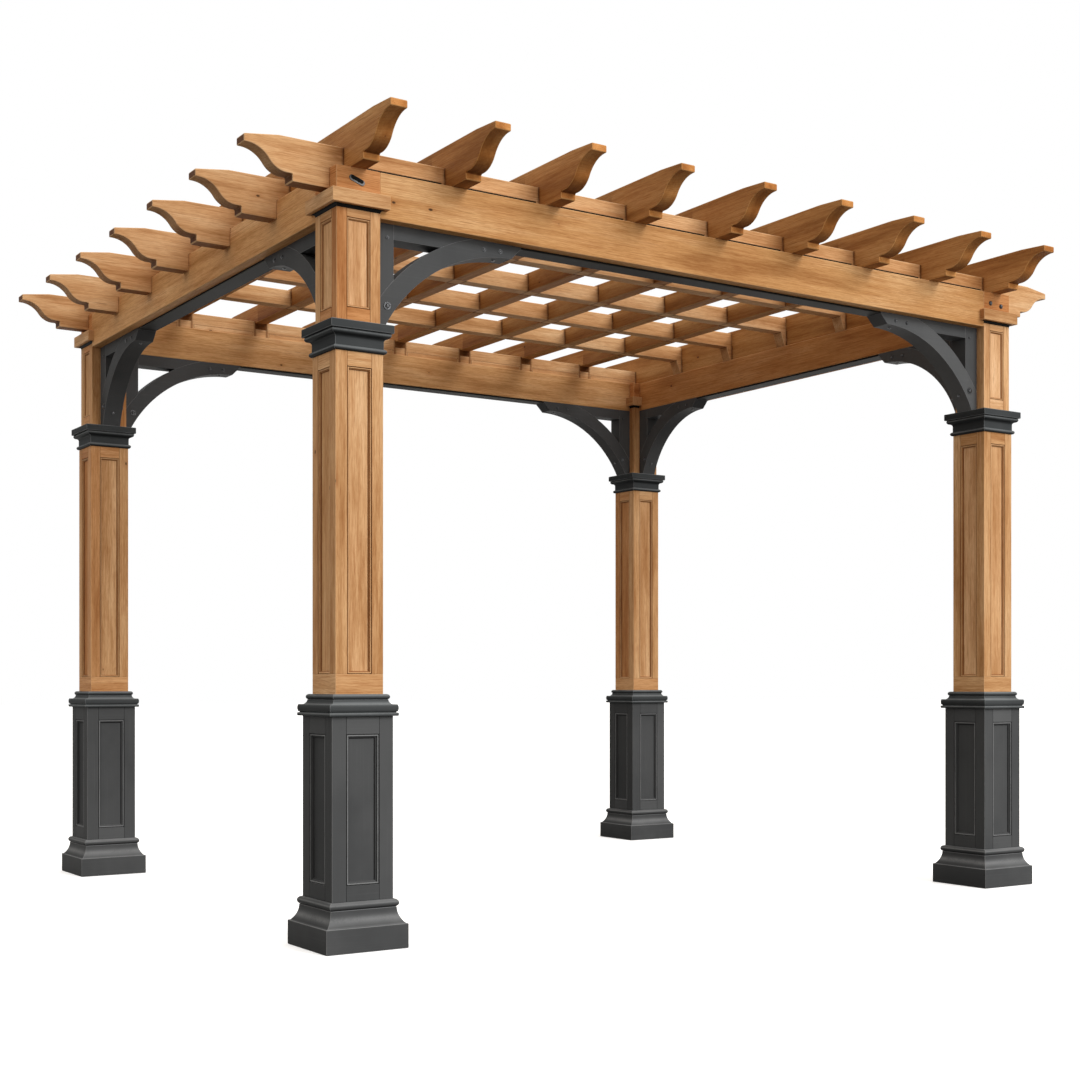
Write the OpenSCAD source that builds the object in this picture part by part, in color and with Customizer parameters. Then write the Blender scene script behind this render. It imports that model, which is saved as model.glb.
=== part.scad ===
// Wooden pergola with panelled posts on dark plinths, curved brackets and a roof of crossed rafters.
// Millimetres, +Z up. The origin is on the ground, midway between the posts.
// X runs along the front beam, Y from front to back.

/* [Plan] */
// Distance between post centres along the front
span_x = 3040; // [2400:10:3600]
// Distance between post centres from front to back
span_y = 2490; // [2000:10:3200]

/* [Posts] */
// Width of the square timber inside each post
core_w = 120; // [100:1:126]
// Width of the panelled casing below the collar
shaft_w = 172; // [166:1:186]
// Height of the top of that casing above the ground
shaft_top = 1933; // [1750:1:2050]
// Width of the casing above the collar
neck_w = 158; // [150:1:166]
// Gap between a casing or ring and what it wraps
wrap_gap = 0.2; // [0:0.1:0.6]

/* [Panels] */
// Depth of the panels in the shaft
shaft_recess = 10; // [7:0.5:14]
// Width of the stiles beside a shaft panel
shaft_stile = 42; // [30:1:55]
// Height of the rail over a shaft panel
shaft_top_rail = 49; // [30:1:90]
// Height of the rail between the plinth and a shaft panel
shaft_bottom_rail = 65; // [40:1:120]
// Depth of the panels in the neck
neck_recess = 8; // [7:0.5:11]
// Width of the stiles beside a neck panel
neck_stile = 37; // [28:1:48]
// Height of the rail over a neck panel
neck_top_rail = 27; // [15:1:50]
// Height of the rail between the collar and a neck panel
neck_bottom_rail = 49; // [25:1:80]
// Radius of the quarter-round round the shaft and neck panels
post_round_r = 6; // [3:0.5:6.5]
// Depth of the panels in the plinth die
die_recess = 12; // [9:0.5:15]
// Width of the stiles beside a die panel
die_stile = 51; // [35:1:70]
// Height of the rail over a die panel
die_top_rail = 58; // [35:1:90]
// Height of the rail below a die panel
die_bottom_rail = 51; // [35:1:90]
// Radius of the quarter-round round the die panels
die_round_r = 8; // [4:0.5:8.5]

/* [Plinth] */
// Width of the die, the tall square body of the plinth
die_w = 220; // [206:1:250]
// Height of the die
die_h = 595; // [450:1:750]
// How far the ground block stands out from the die
block_out = 37.5; // [33:0.5:60]
// Height of the ground block
block_h = 81; // [50:1:120]
// How far the foot of the base cove stands out from the die
base_cove_out = 31.5; // [20:0.5:32.5]
// How far the top of the base cove stands out from the die
base_cove_top_out = 9; // [2:0.5:12]
// Height of the base cove
base_cove_h = 53; // [35:1:70]
// How far the base bead stands out from the die
base_bead_out = 15; // [10:0.5:20]
// Height of the base bead
base_bead_h = 26; // [16:1:36]

/* [Plinth cap] */
// How far the lower bead stands out from the die
low_bead_out = 14.5; // [8:0.5:20]
// Height of the lower bead
low_bead_h = 11; // [6:0.5:16]
// How far the groove over that bead stands out from the die
groove_out = 8; // [2:0.5:10]
// Height of the groove
groove_h = 3; // [1:0.5:6]
// How far the broad band stands out from the die
broad_bead_out = 14; // [11:0.5:22]
// Height of the broad band
broad_bead_h = 24; // [14:1:34]
// How far the foot of the cap cove stands out from the die
cap_cove_out = 4; // [1:0.5:7]
// How far the top of the cap cove stands out from the shaft
cap_cove_top_out = 13; // [6:0.5:15]
// Height of the cap cove
cap_cove_h = 15; // [8:1:24]
// How far the top bead stands out from the shaft
top_bead_out = 17; // [12:0.5:24]
// Height of the top bead
top_bead_h = 18; // [10:1:26]

/* [Collar] */
// How far the lower bead stands out from the neck
collar_bead_out = 17; // [12:0.5:22]
// Height of the lower bead
collar_bead_h = 18; // [10:1:26]
// How far the plain band stands out from the neck
frieze_out = 9; // [4:0.5:11]
// Height of the plain band
frieze_h = 30; // [15:1:50]
// How far the hollow and the round over it each spread
ogee_step = 9; // [5:0.5:11]
// Height of the hollow and the round, each
ogee_h = 13; // [8:0.5:18]
// How far the top slab stands out from the neck
slab_out = 34.5; // [33:0.5:50]
// Height of the top slab
slab_h = 20; // [10:1:30]

/* [Post cap] */
// Height of the cap's underside above the underside of the beams
cap_rise = 25; // [14:1:60]
// How far the cap stands out from the neck
cap_out = 25; // [16:0.5:40]
// Height of the cap
cap_h = 46; // [25:1:65]
// How far the hollow mould under the cap spreads
cap_mould_out = 13; // [6:0.5:15]
// Height of that mould
cap_mould_h = 10; // [5:0.5:13]

/* [Beams] */
// Depth of a beam
beam_h = 151; // [135:1:200]
// Thickness of a beam
beam_t = 120; // [110:1:135]
// Width of the dark strip under a beam
strip_w = 76; // [50:1:80]
// Thickness of that strip
strip_t = 8; // [4:0.5:14]

/* [Brackets] */
// Height of a bracket, from the collar to the underside of the beams
bracket_h = 352; // [280:1:440]
// Thickness of a bracket
bracket_t = 80; // [50:1:82]
// Length of a bracket along the front and back beams
front_reach = 570; // [460:1:720]
// Length of a bracket along the side beams
side_reach = 500; // [430:1:700]
// Width of the leg against the post
bracket_leg = 70; // [45:1:90]
// Depth of the rail against the beam
bracket_rail = 50; // [45:1:65]
// Width of the curved arm
bracket_arm = 65; // [45:1:80]
// Width of the foot on the collar
bracket_foot = 32; // [20:1:34]
// Depth of the nose at the end of the arm
bracket_nose = 47; // [30:1:58]

/* [Rafters] */
// Thickness of every rafter
rafter_t = 60; // [40:1:75]
// Gap on each side of a crossing joint
lap_gap = 0.5; // [0.2:0.1:1]
// Number of lower rafters, which run along the front
lower_count = 7; // [4:1:9]
// Height of the lower rafters above the beams
lower_rise = 74; // [60:1:90]
// Depth of the tails of the lower rafters
lower_depth = 140; // [125:1:170]
// Reach of the lower rafters beyond the post line
lower_over = 376; // [300:1:480]
// Length of the shaped end of a lower rafter
lower_tail = 165; // [130:1:195]
// Drop of the slope on top of a lower rafter's tail
lower_tip_drop = 16; // [4:0.5:22]
// Height of the relief under the edge rafters, between the crossings
edge_relief = 22; // [8:1:26]
// Length of the edge rafters' bearing beyond each side of a crossing
edge_bearing = 12; // [4:1:40]
// Number of upper rafters, which run from front to back
upper_count = 9; // [5:1:11]
// Depth of the upper rafters
upper_depth = 148; // [125:1:180]
// Reach of the upper rafters beyond the post line
upper_over = 356; // [290:1:460]
// Length of the shaped end of an upper rafter
upper_tail = 185; // [150:1:205]
// Drop of the slope on top of an upper rafter's tail
upper_tip_drop = 7; // [4:0.5:18]

/* [Lattice] */
// Height of the lattice's underside above the beams
lattice_rise = 65; // [45:1:75]
// Depth of the lower rafters in the lattice
lattice_depth = 72; // [50:1:80]
// Length over which a lower rafter rises from the side beams to the lattice
lattice_run = 25; // [10:1:60]

/* [Rafter tails] */
// Length of the slope on top of a tail
tip_slope_l = 120; // [80:1:130]
// Height of the blunt tip
tip_face = 25; // [15:0.5:32]
// Length of the flat under the tip
tip_flat = 8; // [2:0.5:15]
// Length of the flat between the belly and the step
belly_flat = 16; // [6:0.5:25]
// Height of the step at the root of a tail
tail_step = 25; // [12:0.5:32]
// Share of the curve that is hollow, the rest being the belly
hollow_share = 0.56; // [0.45:0.01:0.65]
// Height of the quirk, the small step where the hollow meets the belly
tail_quirk = 0.5; // [0.3:0.1:2]

/* [Hidden] */
$fn = 72;
wood = "#B88654";
charcoal = "#3E4041";
// Overlap of a cut past the face that it cuts
cut = 1;
// Bulge of a bead as a share of its height, a little under a half-round
bead_bulge = 0.44;

base_top = block_h + base_cove_h + base_bead_h;
die_top = base_top + die_h;
plinth_top = die_top + low_bead_h + groove_h + broad_bead_h + cap_cove_h + top_bead_h;
collar_top = shaft_top + collar_bead_h + frieze_h + 2 * ogee_h + slab_h;
beam_z = collar_top + bracket_h;
beam_top = beam_z + beam_h;
cap_z = beam_z + cap_rise;
lower_top = beam_top + lower_rise;
upper_top = beam_top + upper_depth;
lattice_z = beam_top + lattice_rise;
lattice_top = lattice_z + lattice_depth;
// Levels at which crossing rafters bear on each other, over the beams and in the lattice between them
lap_z = beam_top + lower_rise / 2;
lattice_lap_z = lattice_z + lattice_depth / 2;
lap_w = rafter_t + 2 * lap_gap;
// Long enough for any moulding to be cut from
stock_l = 3 * (die_w + 2 * block_out);

lower_places = [for (i = [0 : lower_count - 1]) span_y * (i / (lower_count - 1) - 0.5)];
upper_places = [for (i = [0 : upper_count - 1]) span_x * (i / (upper_count - 1) - 0.5)];

// Each post: its name and the signs of its place in X and Y
POSTS = [
    ["front_left", -1, -1],
    ["front_right", 1, -1],
    ["back_left", -1, 1],
    ["back_right", 1, 1],
];
POST_PIECES = ["plinth_base", "plinth_die", "plinth_cap", "shaft", "collar", "neck", "post_cap", "brackets"];
NODES = concat(
    ["post_cores"],
    [for (p = POSTS) for (piece = POST_PIECES) str(p[0], "_", piece)],
    ["front_beam", "back_beam", "left_beam", "right_beam"],
    ["front_soffit_strip", "back_soffit_strip", "left_soffit_strip", "right_soffit_strip"],
    ["lower_rafters", "upper_rafters"]
);
node = "all";

function shown(name) = node == "all" || node == name;
function rounded(length) = round(length * 100) / 100;
// Radius of the arc that leaves one line square on, and is out by dx after dy
function arc_radius(dx, dy) = rounded((dx * dx + dy * dy) / (2 * dx));

// Puts what is drawn for the front left post, whose inner sides face +X and +Y, at the post p
module at_post(p) {
    translate([p[1] * span_x / 2, p[2] * span_y / 2, 0])
        mirror([p[1] > 0 ? 1 : 0, 0, 0])
            mirror([0, p[2] > 0 ? 1 : 0, 0])
                children();
}

module both_sides() {
    children();
    mirror([1, 0]) children();
}

// Mouldings are drawn as silhouettes: w is a full width, z the height of the foot, h the height

module band(w, z, h) {
    translate([-w / 2, z]) square([w, h]);
}

// Moulding with a face that bulges in an arc to the width w
module bead(w, z, h) {
    bulge = bead_bulge * h;
    r = arc_radius(bulge, h / 2);
    band(w - 2 * bulge, z, h);
    intersection() {
        band(w, z, h);
        both_sides() translate([w / 2 - r, z + h / 2]) circle(r);
    }
}

// Hollow that narrows from w at its foot to top_w, where it stands upright
module cove(w, top_w, z, h) {
    r = arc_radius((w - top_w) / 2, h);
    difference() {
        band(w, z, h);
        both_sides() translate([top_w / 2 + r, z + h]) circle(r);
    }
}

// Hollow that stands upright at its foot and spreads from w to top_w
module flare(w, top_w, z, h) {
    r = arc_radius((top_w - w) / 2, h);
    difference() {
        band(top_w, z, h);
        both_sides() translate([w / 2 + r, z]) circle(r);
    }
}

// Round that spreads from w to top_w, where it stands upright
module ovolo(w, top_w, z, h) {
    r = arc_radius((top_w - w) / 2, h);
    band(w, z, h);
    intersection() {
        band(top_w, z, h);
        both_sides() translate([top_w / 2 - r, z + h]) circle(r);
    }
}

// Square ring with mitred corners: the silhouette carried along both axes, round a square hole
module mitred_ring(hole_w, z, h) {
    difference() {
        intersection() {
            rotate([90, 0, 0]) linear_extrude(stock_l, center = true) children();
            rotate([90, 0, 90]) linear_extrude(stock_l, center = true) children();
        }
        translate([0, 0, z - cut]) square_prism(hole_w, h + 2 * cut);
    }
}

module square_prism(w, h) {
    translate([-w / 2, -w / 2, 0]) cube([w, w, h]);
}

module square_tube(w, hole_w, h) {
    difference() {
        square_prism(w, h);
        translate([0, 0, -cut]) square_prism(hole_w, h + 2 * cut);
    }
}

// Recess for a panel in a face that looks along -Y, with a quarter-round left along its four edges
module panel_recess(w, h, depth, round_r) {
    difference() {
        translate([-w / 2, -cut, 0]) cube([w, depth + cut, h]);
        for (x = [-w / 2, w / 2]) translate([x, depth, 0]) cylinder(r = round_r, h = h);
        for (z = [0, h]) translate([-w / 2, depth, z]) rotate([0, 90, 0]) cylinder(r = round_r, h = w);
    }
}

module post_core() {
    color(wood) square_prism(core_w, beam_top);
}

module plinth_base() {
    color(charcoal) mitred_ring(shaft_w + 2 * wrap_gap, 0, base_top) {
        band(die_w + 2 * block_out, 0, block_h);
        cove(die_w + 2 * base_cove_out, die_w + 2 * base_cove_top_out, block_h, base_cove_h);
        bead(die_w + 2 * base_bead_out, block_h + base_cove_h, base_bead_h);
    }
}

module plinth_die() {
    panel_h = die_h - die_top_rail - die_bottom_rail;
    color(charcoal) translate([0, 0, base_top]) difference() {
        square_tube(die_w, shaft_w + 2 * wrap_gap, die_h);
        for (side = [0 : 3]) rotate(90 * side) translate([0, -die_w / 2, die_bottom_rail])
            panel_recess(die_w - 2 * die_stile, panel_h, die_recess, die_round_r);
    }
}

module plinth_cap() {
    groove_z = die_top + low_bead_h;
    broad_z = groove_z + groove_h;
    cove_z = broad_z + broad_bead_h;
    color(charcoal) mitred_ring(shaft_w + 2 * wrap_gap, die_top, plinth_top - die_top) {
        bead(die_w + 2 * low_bead_out, die_top, low_bead_h);
        band(die_w + 2 * groove_out, groove_z, groove_h);
        bead(die_w + 2 * broad_bead_out, broad_z, broad_bead_h);
        cove(die_w + 2 * cap_cove_out, shaft_w + 2 * cap_cove_top_out, cove_z, cap_cove_h);
        bead(shaft_w + 2 * top_bead_out, cove_z + cap_cove_h, top_bead_h);
    }
}

// The casing runs down inside the plinth to the ground
module shaft() {
    panel_z = plinth_top + shaft_bottom_rail;
    panel_h = shaft_top - shaft_top_rail - panel_z;
    color(wood) difference() {
        square_tube(shaft_w, core_w + 2 * wrap_gap, shaft_top);
        for (side = [0 : 3]) rotate(90 * side) translate([0, -shaft_w / 2, panel_z])
            panel_recess(shaft_w - 2 * shaft_stile, panel_h, shaft_recess, post_round_r);
    }
}

module collar() {
    frieze_z = shaft_top + collar_bead_h;
    hollow_z = frieze_z + frieze_h;
    frieze_w = neck_w + 2 * frieze_out;
    color(charcoal) mitred_ring(neck_w + 2 * wrap_gap, shaft_top, collar_top - shaft_top) {
        bead(neck_w + 2 * collar_bead_out, shaft_top, collar_bead_h);
        band(frieze_w, frieze_z, frieze_h);
        flare(frieze_w, frieze_w + 2 * ogee_step, hollow_z, ogee_h);
        ovolo(frieze_w + 2 * ogee_step, frieze_w + 4 * ogee_step, hollow_z + ogee_h, ogee_h);
        band(neck_w + 2 * slab_out, collar_top - slab_h, slab_h);
    }
}

// Panels only on the two outer sides: the brackets cover the inner ones
module neck() {
    panel_z = collar_top + neck_bottom_rail;
    panel_h = cap_z - cap_mould_h - neck_top_rail - panel_z;
    color(wood) difference() {
        translate([0, 0, shaft_top]) square_tube(neck_w, core_w + 2 * wrap_gap, beam_top - shaft_top);
        for (side = [0, -1]) rotate(90 * side) translate([0, -neck_w / 2, panel_z])
            panel_recess(neck_w - 2 * neck_stile, panel_h, neck_recess, post_round_r);
    }
}

// Section of the beam that leaves the post along +X, with room all round
module beam_notch() {
    translate([neck_w / 2 - cut, -neck_w / 2 - wrap_gap, beam_z - wrap_gap])
        cube([stock_l, beam_t + 2 * wrap_gap, beam_h + 2 * wrap_gap]);
}

module post_cap() {
    mould_z = cap_z - cap_mould_h;
    color(wood) difference() {
        mitred_ring(neck_w + 2 * wrap_gap, mould_z, cap_h + cap_mould_h) {
            flare(neck_w + 4 * wrap_gap, neck_w + 2 * cap_mould_out, mould_z, cap_mould_h);
            band(neck_w + 2 * cap_out, cap_z, cap_h);
        }
        beam_notch();
        mirror([1, -1, 0]) beam_notch();
    }
}

// Side view of a bracket: X from the post, 0 at the underside of the beam
module bracket_outline(reach) {
    arc_x = reach - (bracket_nose - strip_t);
    arc_r = arc_radius(bracket_h - bracket_nose, arc_x - bracket_foot);
    arc_z = -bracket_nose - arc_r;
    difference() {
        translate([0, -bracket_h]) square([reach, bracket_h]);
        translate([arc_x, arc_z]) circle(arc_r);
        polygon([
            [arc_x, -bracket_nose], [reach, -strip_t], [reach + cut, -strip_t],
            [reach + cut, -bracket_h - cut], [arc_x, -bracket_h - cut],
        ]);
        difference() {
            translate([bracket_leg, -bracket_h]) square([arc_x - bracket_leg, bracket_h - bracket_rail]);
            translate([arc_x, arc_z]) circle(arc_r + bracket_arm);
        }
    }
}

module bracket(reach) {
    translate([neck_w / 2, 0, beam_z])
        rotate([90, 0, 0]) linear_extrude(bracket_t, center = true) bracket_outline(reach);
}

module brackets() {
    color(charcoal) {
        bracket(front_reach);
        mirror([1, -1, 0]) bracket(side_reach);
    }
}

// Beam along X between two posts, its outer face flush with theirs
module beam(span, side) {
    color(wood) translate([-(span - neck_w) / 2, side > 0 ? neck_w / 2 - beam_t : -neck_w / 2, beam_z])
        cube([span - neck_w, beam_t, beam_h]);
}

module soffit_strip(span, reach) {
    strip_l = span - neck_w - 2 * reach;
    color(charcoal) translate([-strip_l / 2, -strip_w / 2, beam_z - strip_t])
        cube([strip_l, strip_w, strip_t]);
}

// Places what runs along X on the front or back line of posts
module along_x(side) {
    translate([0, side * span_y / 2, 0]) children();
}

// Turns what runs along X to run along Y, on the left or right line of posts
module along_y(side) {
    translate([side * span_x / 2, 0, 0]) mirror([1, -1, 0]) children();
}

// What is cut from the left end of a rafter: the origin is at its top corner.
// A hollow and a belly of one slope meet at the quirk, between the blunt tip and the step.
module tail_cut(depth, tail_l, tip_drop) {
    tip_bottom = tip_drop + tip_face;
    belly = depth - tail_step;
    run = tail_l - tip_flat - belly_flat;
    slope = 2 * atan((belly - tail_quirk - tip_bottom) / run);
    hollow_r = rounded(hollow_share * run / sin(slope));
    belly_r = rounded((1 - hollow_share) * run / sin(slope));
    turn = rounded(tip_flat + hollow_share * run);
    polygon([
        [-cut, cut], [tip_slope_l, cut], [tip_slope_l, 0], [-cut, -tip_drop * (1 + cut / tip_slope_l)],
    ]);
    translate([-cut, -depth - cut]) square([tip_flat + cut, depth + cut - tip_bottom]);
    intersection() {
        translate([tip_flat, -tip_bottom - hollow_r]) circle(hollow_r);
        translate([tip_flat, -depth - cut]) square([turn - tip_flat, depth + cut]);
    }
    difference() {
        translate([turn, -depth - cut]) square([tail_l - turn, depth + cut - belly + belly_r]);
        translate([tail_l - belly_flat, -belly + belly_r]) circle(belly_r);
        translate([tail_l - belly_flat, -belly]) square([belly_flat + cut, belly_r + cut]);
    }
}

function at_end(i, count) = i == 0 || i == count - 1;

// Side view of a lower rafter: it sits on the side beams, and its tails hang down outside them. On the front and
// back beams it is relieved underneath between the crossings, and elsewhere it steps up to the lattice.
module lower_outline(edge) {
    half_l = span_x / 2 + lower_over;
    heel = span_x / 2 + neck_w / 2 + lap_gap;
    shoulder = (span_x - lap_w) / 2;
    rise_x = min(shoulder, span_x / 2 + neck_w / 2 - beam_t);
    bay_w = span_x / (upper_count - 1);
    bearing = rafter_t / 2 + edge_bearing;
    difference() {
        union() {
            translate([-half_l, lower_top - lower_depth]) square([2 * half_l, lower_depth]);
            if (!edge) translate([-shoulder, beam_top]) square([2 * shoulder, lattice_top - beam_top]);
        }
        translate([-heel, lower_top - lower_depth - cut])
            square([2 * heel, lower_depth - lower_rise + cut]);
        both_sides() translate([-half_l, lower_top]) tail_cut(lower_depth, lower_tail, lower_tip_drop);
        for (i = [0 : upper_count - 1]) {
            on_beam = edge || at_end(i, upper_count);
            floor_z = on_beam ? lap_z : lattice_lap_z;
            top_z = on_beam ? lower_top : max(lower_top, lattice_top);
            translate([upper_places[i] - lap_w / 2, floor_z]) square([lap_w, top_z - floor_z + cut]);
        }
        if (edge) for (i = [0 : upper_count - 2]) translate([upper_places[i] + bearing, beam_top - cut])
            square([bay_w - 2 * bearing, edge_relief + cut]);
        else polygon([
            [-rise_x, beam_top - cut], [-rise_x, beam_top], [-rise_x + lattice_run, lattice_z],
            [rise_x - lattice_run, lattice_z], [rise_x, beam_top], [rise_x, beam_top - cut],
        ]);
    }
}

// Side view of an upper rafter: it sits on the front and back beams and over the lower rafters. Between the side
// beams its underside is cut back to the lattice.
module upper_outline(edge) {
    half_l = span_y / 2 + upper_over;
    inside = (span_y - lap_w) / 2;
    difference() {
        translate([-half_l, beam_top]) square([2 * half_l, upper_depth]);
        both_sides() translate([-half_l, upper_top]) tail_cut(upper_depth, upper_tail, upper_tip_drop);
        for (i = [0 : lower_count - 1]) {
            seat_z = edge || at_end(i, lower_count) ? lap_z : lattice_lap_z;
            translate([lower_places[i] - lap_w / 2, beam_top - cut]) square([lap_w, seat_z - beam_top + cut]);
        }
        if (!edge) translate([-inside, beam_top - cut]) square([2 * inside, lattice_rise + cut]);
    }
}

module lower_rafters() {
    color(wood) for (i = [0 : lower_count - 1]) translate([0, lower_places[i], 0])
        rotate([90, 0, 0]) linear_extrude(rafter_t, center = true)
            lower_outline(at_end(i, lower_count));
}

module upper_rafters() {
    color(wood) for (i = [0 : upper_count - 1]) translate([upper_places[i], 0, 0])
        rotate([90, 0, 90]) linear_extrude(rafter_t, center = true)
            upper_outline(at_end(i, upper_count));
}

if (shown("post_cores")) for (p = POSTS) at_post(p) post_core();
for (p = POSTS) {
    if (shown(str(p[0], "_plinth_base"))) at_post(p) plinth_base();
    if (shown(str(p[0], "_plinth_die"))) at_post(p) plinth_die();
    if (shown(str(p[0], "_plinth_cap"))) at_post(p) plinth_cap();
    if (shown(str(p[0], "_shaft"))) at_post(p) shaft();
    if (shown(str(p[0], "_collar"))) at_post(p) collar();
    if (shown(str(p[0], "_neck"))) at_post(p) neck();
    if (shown(str(p[0], "_post_cap"))) at_post(p) post_cap();
    if (shown(str(p[0], "_brackets"))) at_post(p) brackets();
}
if (shown("front_beam")) along_x(-1) beam(span_x, -1);
if (shown("back_beam")) along_x(1) beam(span_x, 1);
if (shown("left_beam")) along_y(-1) beam(span_y, -1);
if (shown("right_beam")) along_y(1) beam(span_y, 1);
if (shown("front_soffit_strip")) along_x(-1) soffit_strip(span_x, front_reach);
if (shown("back_soffit_strip")) along_x(1) soffit_strip(span_x, front_reach);
if (shown("left_soffit_strip")) along_y(-1) soffit_strip(span_y, side_reach);
if (shown("right_soffit_strip")) along_y(1) soffit_strip(span_y, side_reach);
if (shown("lower_rafters")) lower_rafters();
if (shown("upper_rafters")) upper_rafters();
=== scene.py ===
import math

import bpy
import numpy as np
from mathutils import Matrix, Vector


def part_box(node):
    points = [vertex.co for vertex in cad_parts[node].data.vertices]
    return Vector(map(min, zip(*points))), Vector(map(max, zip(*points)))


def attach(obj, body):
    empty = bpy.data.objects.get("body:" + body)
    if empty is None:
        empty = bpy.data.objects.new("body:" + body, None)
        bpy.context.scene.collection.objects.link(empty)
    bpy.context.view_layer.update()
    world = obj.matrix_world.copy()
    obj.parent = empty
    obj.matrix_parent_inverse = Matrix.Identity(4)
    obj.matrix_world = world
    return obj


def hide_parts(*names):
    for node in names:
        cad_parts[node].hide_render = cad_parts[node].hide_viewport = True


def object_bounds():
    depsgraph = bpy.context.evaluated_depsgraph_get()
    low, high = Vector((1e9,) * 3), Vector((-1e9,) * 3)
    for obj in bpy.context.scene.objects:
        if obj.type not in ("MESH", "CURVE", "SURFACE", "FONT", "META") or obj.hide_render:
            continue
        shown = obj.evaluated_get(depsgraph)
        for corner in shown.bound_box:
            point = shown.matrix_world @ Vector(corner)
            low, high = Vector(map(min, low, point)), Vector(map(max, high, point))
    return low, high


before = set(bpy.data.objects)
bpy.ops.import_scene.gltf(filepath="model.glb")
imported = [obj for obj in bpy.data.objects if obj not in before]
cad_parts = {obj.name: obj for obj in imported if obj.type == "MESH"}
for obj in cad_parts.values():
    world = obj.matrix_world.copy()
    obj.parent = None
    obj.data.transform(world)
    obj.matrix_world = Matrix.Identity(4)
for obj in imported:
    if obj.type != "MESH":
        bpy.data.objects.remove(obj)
CAD_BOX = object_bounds()

# Lengths are metres, written as millimetres times mm
mm = 0.001
X, Y, Z = np.eye(3)
QUARTER = 0.5 * np.pi
rng = np.random.default_rng(11)

# Each post and the signs of its place along X and Y
POSTS = {"front_left": (-1, -1), "front_right": (1, -1), "back_left": (-1, 1), "back_right": (1, 1)}

# Panels: stile width, depth of the panel behind the face and width of the moulding round it, then the rails
SHAFT_PANEL, SHAFT_TOP_RAIL, SHAFT_BOTTOM_RAIL = (42 * mm, 10 * mm, 10 * mm), 49 * mm, 65 * mm
NECK_PANEL, NECK_TOP_RAIL, NECK_BOTTOM_RAIL = (37 * mm, 8 * mm, 9 * mm), 27 * mm, 49 * mm
DIE_PANEL, DIE_TOP_RAIL, DIE_BOTTOM_RAIL = (51 * mm, 12 * mm, 14 * mm), 58 * mm, 51 * mm
PANEL_T = 8 * mm
# Moulding round a panel: quirk, share of its bead, and how far its bead's crest and root lie below the face
PANEL_QUIRK, PANEL_BEAD, PANEL_CREST, PANEL_ROOT, PANEL_EASE = 2.2 * mm, 0.34, 0.8 * mm, 2.2 * mm, 0.3 * mm

# Mouldings: how far each stands out, and its height
BLOCK_H = 81 * mm
BASE_COVE_OUT, BASE_COVE_TOP_OUT, BASE_COVE_H = 31.5 * mm, 9 * mm, 53 * mm
BASE_BEAD_OUT = 15 * mm
LOW_BEAD_OUT, LOW_BEAD_H = 14.5 * mm, 11 * mm
GROOVE_OUT, GROOVE_H = 8 * mm, 3 * mm
BROAD_OUT, BROAD_H = 14 * mm, 24 * mm
CAP_COVE_TOP_OUT, CAP_COVE_H = 13 * mm, 15 * mm
TOP_BEAD_OUT = 17 * mm
COLLAR_BEAD_OUT, COLLAR_BEAD_H = 17 * mm, 16 * mm
FRIEZE_OUT, FRIEZE_H = 9 * mm, 24 * mm
OGEE_STEP, OGEE_H = 9.5 * mm, 13.5 * mm
COLLAR_QUIRK, COLLAR_QUIRK_H = 5 * mm, 6 * mm
POST_CAP_MOULD_OUT, POST_CAP_MOULD_H, POST_CAP_EASE = 13 * mm, 10 * mm, 2 * mm
# Depth of a bead's bulge as a share of its height, for round beads and for flatter ones
BEAD_BULGE, FLAT_BULGE = 0.44, 0.12
# How strong the painted highlights on the crests of the mouldings are, and how far up and down on beads and
# in coves
CREST_HIGHLIGHT, CREST_W, COVE_CREST_W = 0.65, 2.5 * mm, 9 * mm
# Painted highlights on crests: shares of the cove's and of two beads' heights, and the drop below the
# plinth's top
COVE_CREST, LOW_BEAD_CREST, COLLAR_BEAD_CREST, TOP_BEAD_CREST = 0.42, 0.7, 0.62, 5 * mm
# Painted shade at the foot of the base's cove
COVE_FOOT_SHADE, COVE_FOOT_W = 0.55, 9 * mm

# Brackets
BRACKET_T, BRACKET_LEG, BRACKET_RAIL, BRACKET_ARM = 80 * mm, 70 * mm, 50 * mm, 65 * mm
BRACKET_FOOT, BRACKET_NOSE, BRACKET_EASE = 32 * mm, 47 * mm, 1.2 * mm
# Bolts: place from the post, or below 0 from the nose, drop below the beam, and radii of head and washer
BRACKET_BOLTS = ((46 * mm, 46 * mm, 4 * mm, 6 * mm), (46 * mm, 272 * mm, 8 * mm, 14 * mm),
                 (-150 * mm, 30 * mm, 5 * mm, 8 * mm), (-85 * mm, 28 * mm, 5 * mm, 8 * mm))
# Bolts in the underside of the arm: angle from its foot, angle from its top, and their radii
ARM_BOLT_FOOT, ARM_BOLT_TOP, ARM_BOLT = 0.13, 0.09, (4.5 * mm, 7 * mm)
BOLT_WASHER_T, BOLT_SUNK = 2.2 * mm, 0.5 * mm

# Rafters and their tails
LOWER_COUNT, UPPER_COUNT, RAFTER_T = 7, 9, 60 * mm
LOWER_RISE, LOWER_TAIL, LOWER_TIP_DROP = 74 * mm, 165 * mm, 16 * mm
UPPER_TAIL, UPPER_TIP_DROP = 185 * mm, 7 * mm
EDGE_RELIEF, EDGE_BEARING = 22 * mm, 12 * mm
TIP_SLOPE, TIP_FACE, TIP_FLAT = 120 * mm, 25 * mm, 8 * mm
BELLY_FLAT, TAIL_STEP, HOLLOW_SHARE = 16 * mm, 25 * mm, 0.56
LATTICE_RISE, LATTICE_DEPTH, LATTICE_RUN = 65 * mm, 72 * mm, 25 * mm
# Gap at each lap, and how far the painted shade beside a lap reaches
LAP_GAP, LAP_SHADE_REACH = 0.5 * mm, 14 * mm
# Painted shade on the undersides of the tails, and how sharply their end grain is told from the curves
TAIL_UNDER_SHADE, LOWER_END_POWER, UPPER_END_POWER = 0.85, 8, 1

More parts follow.
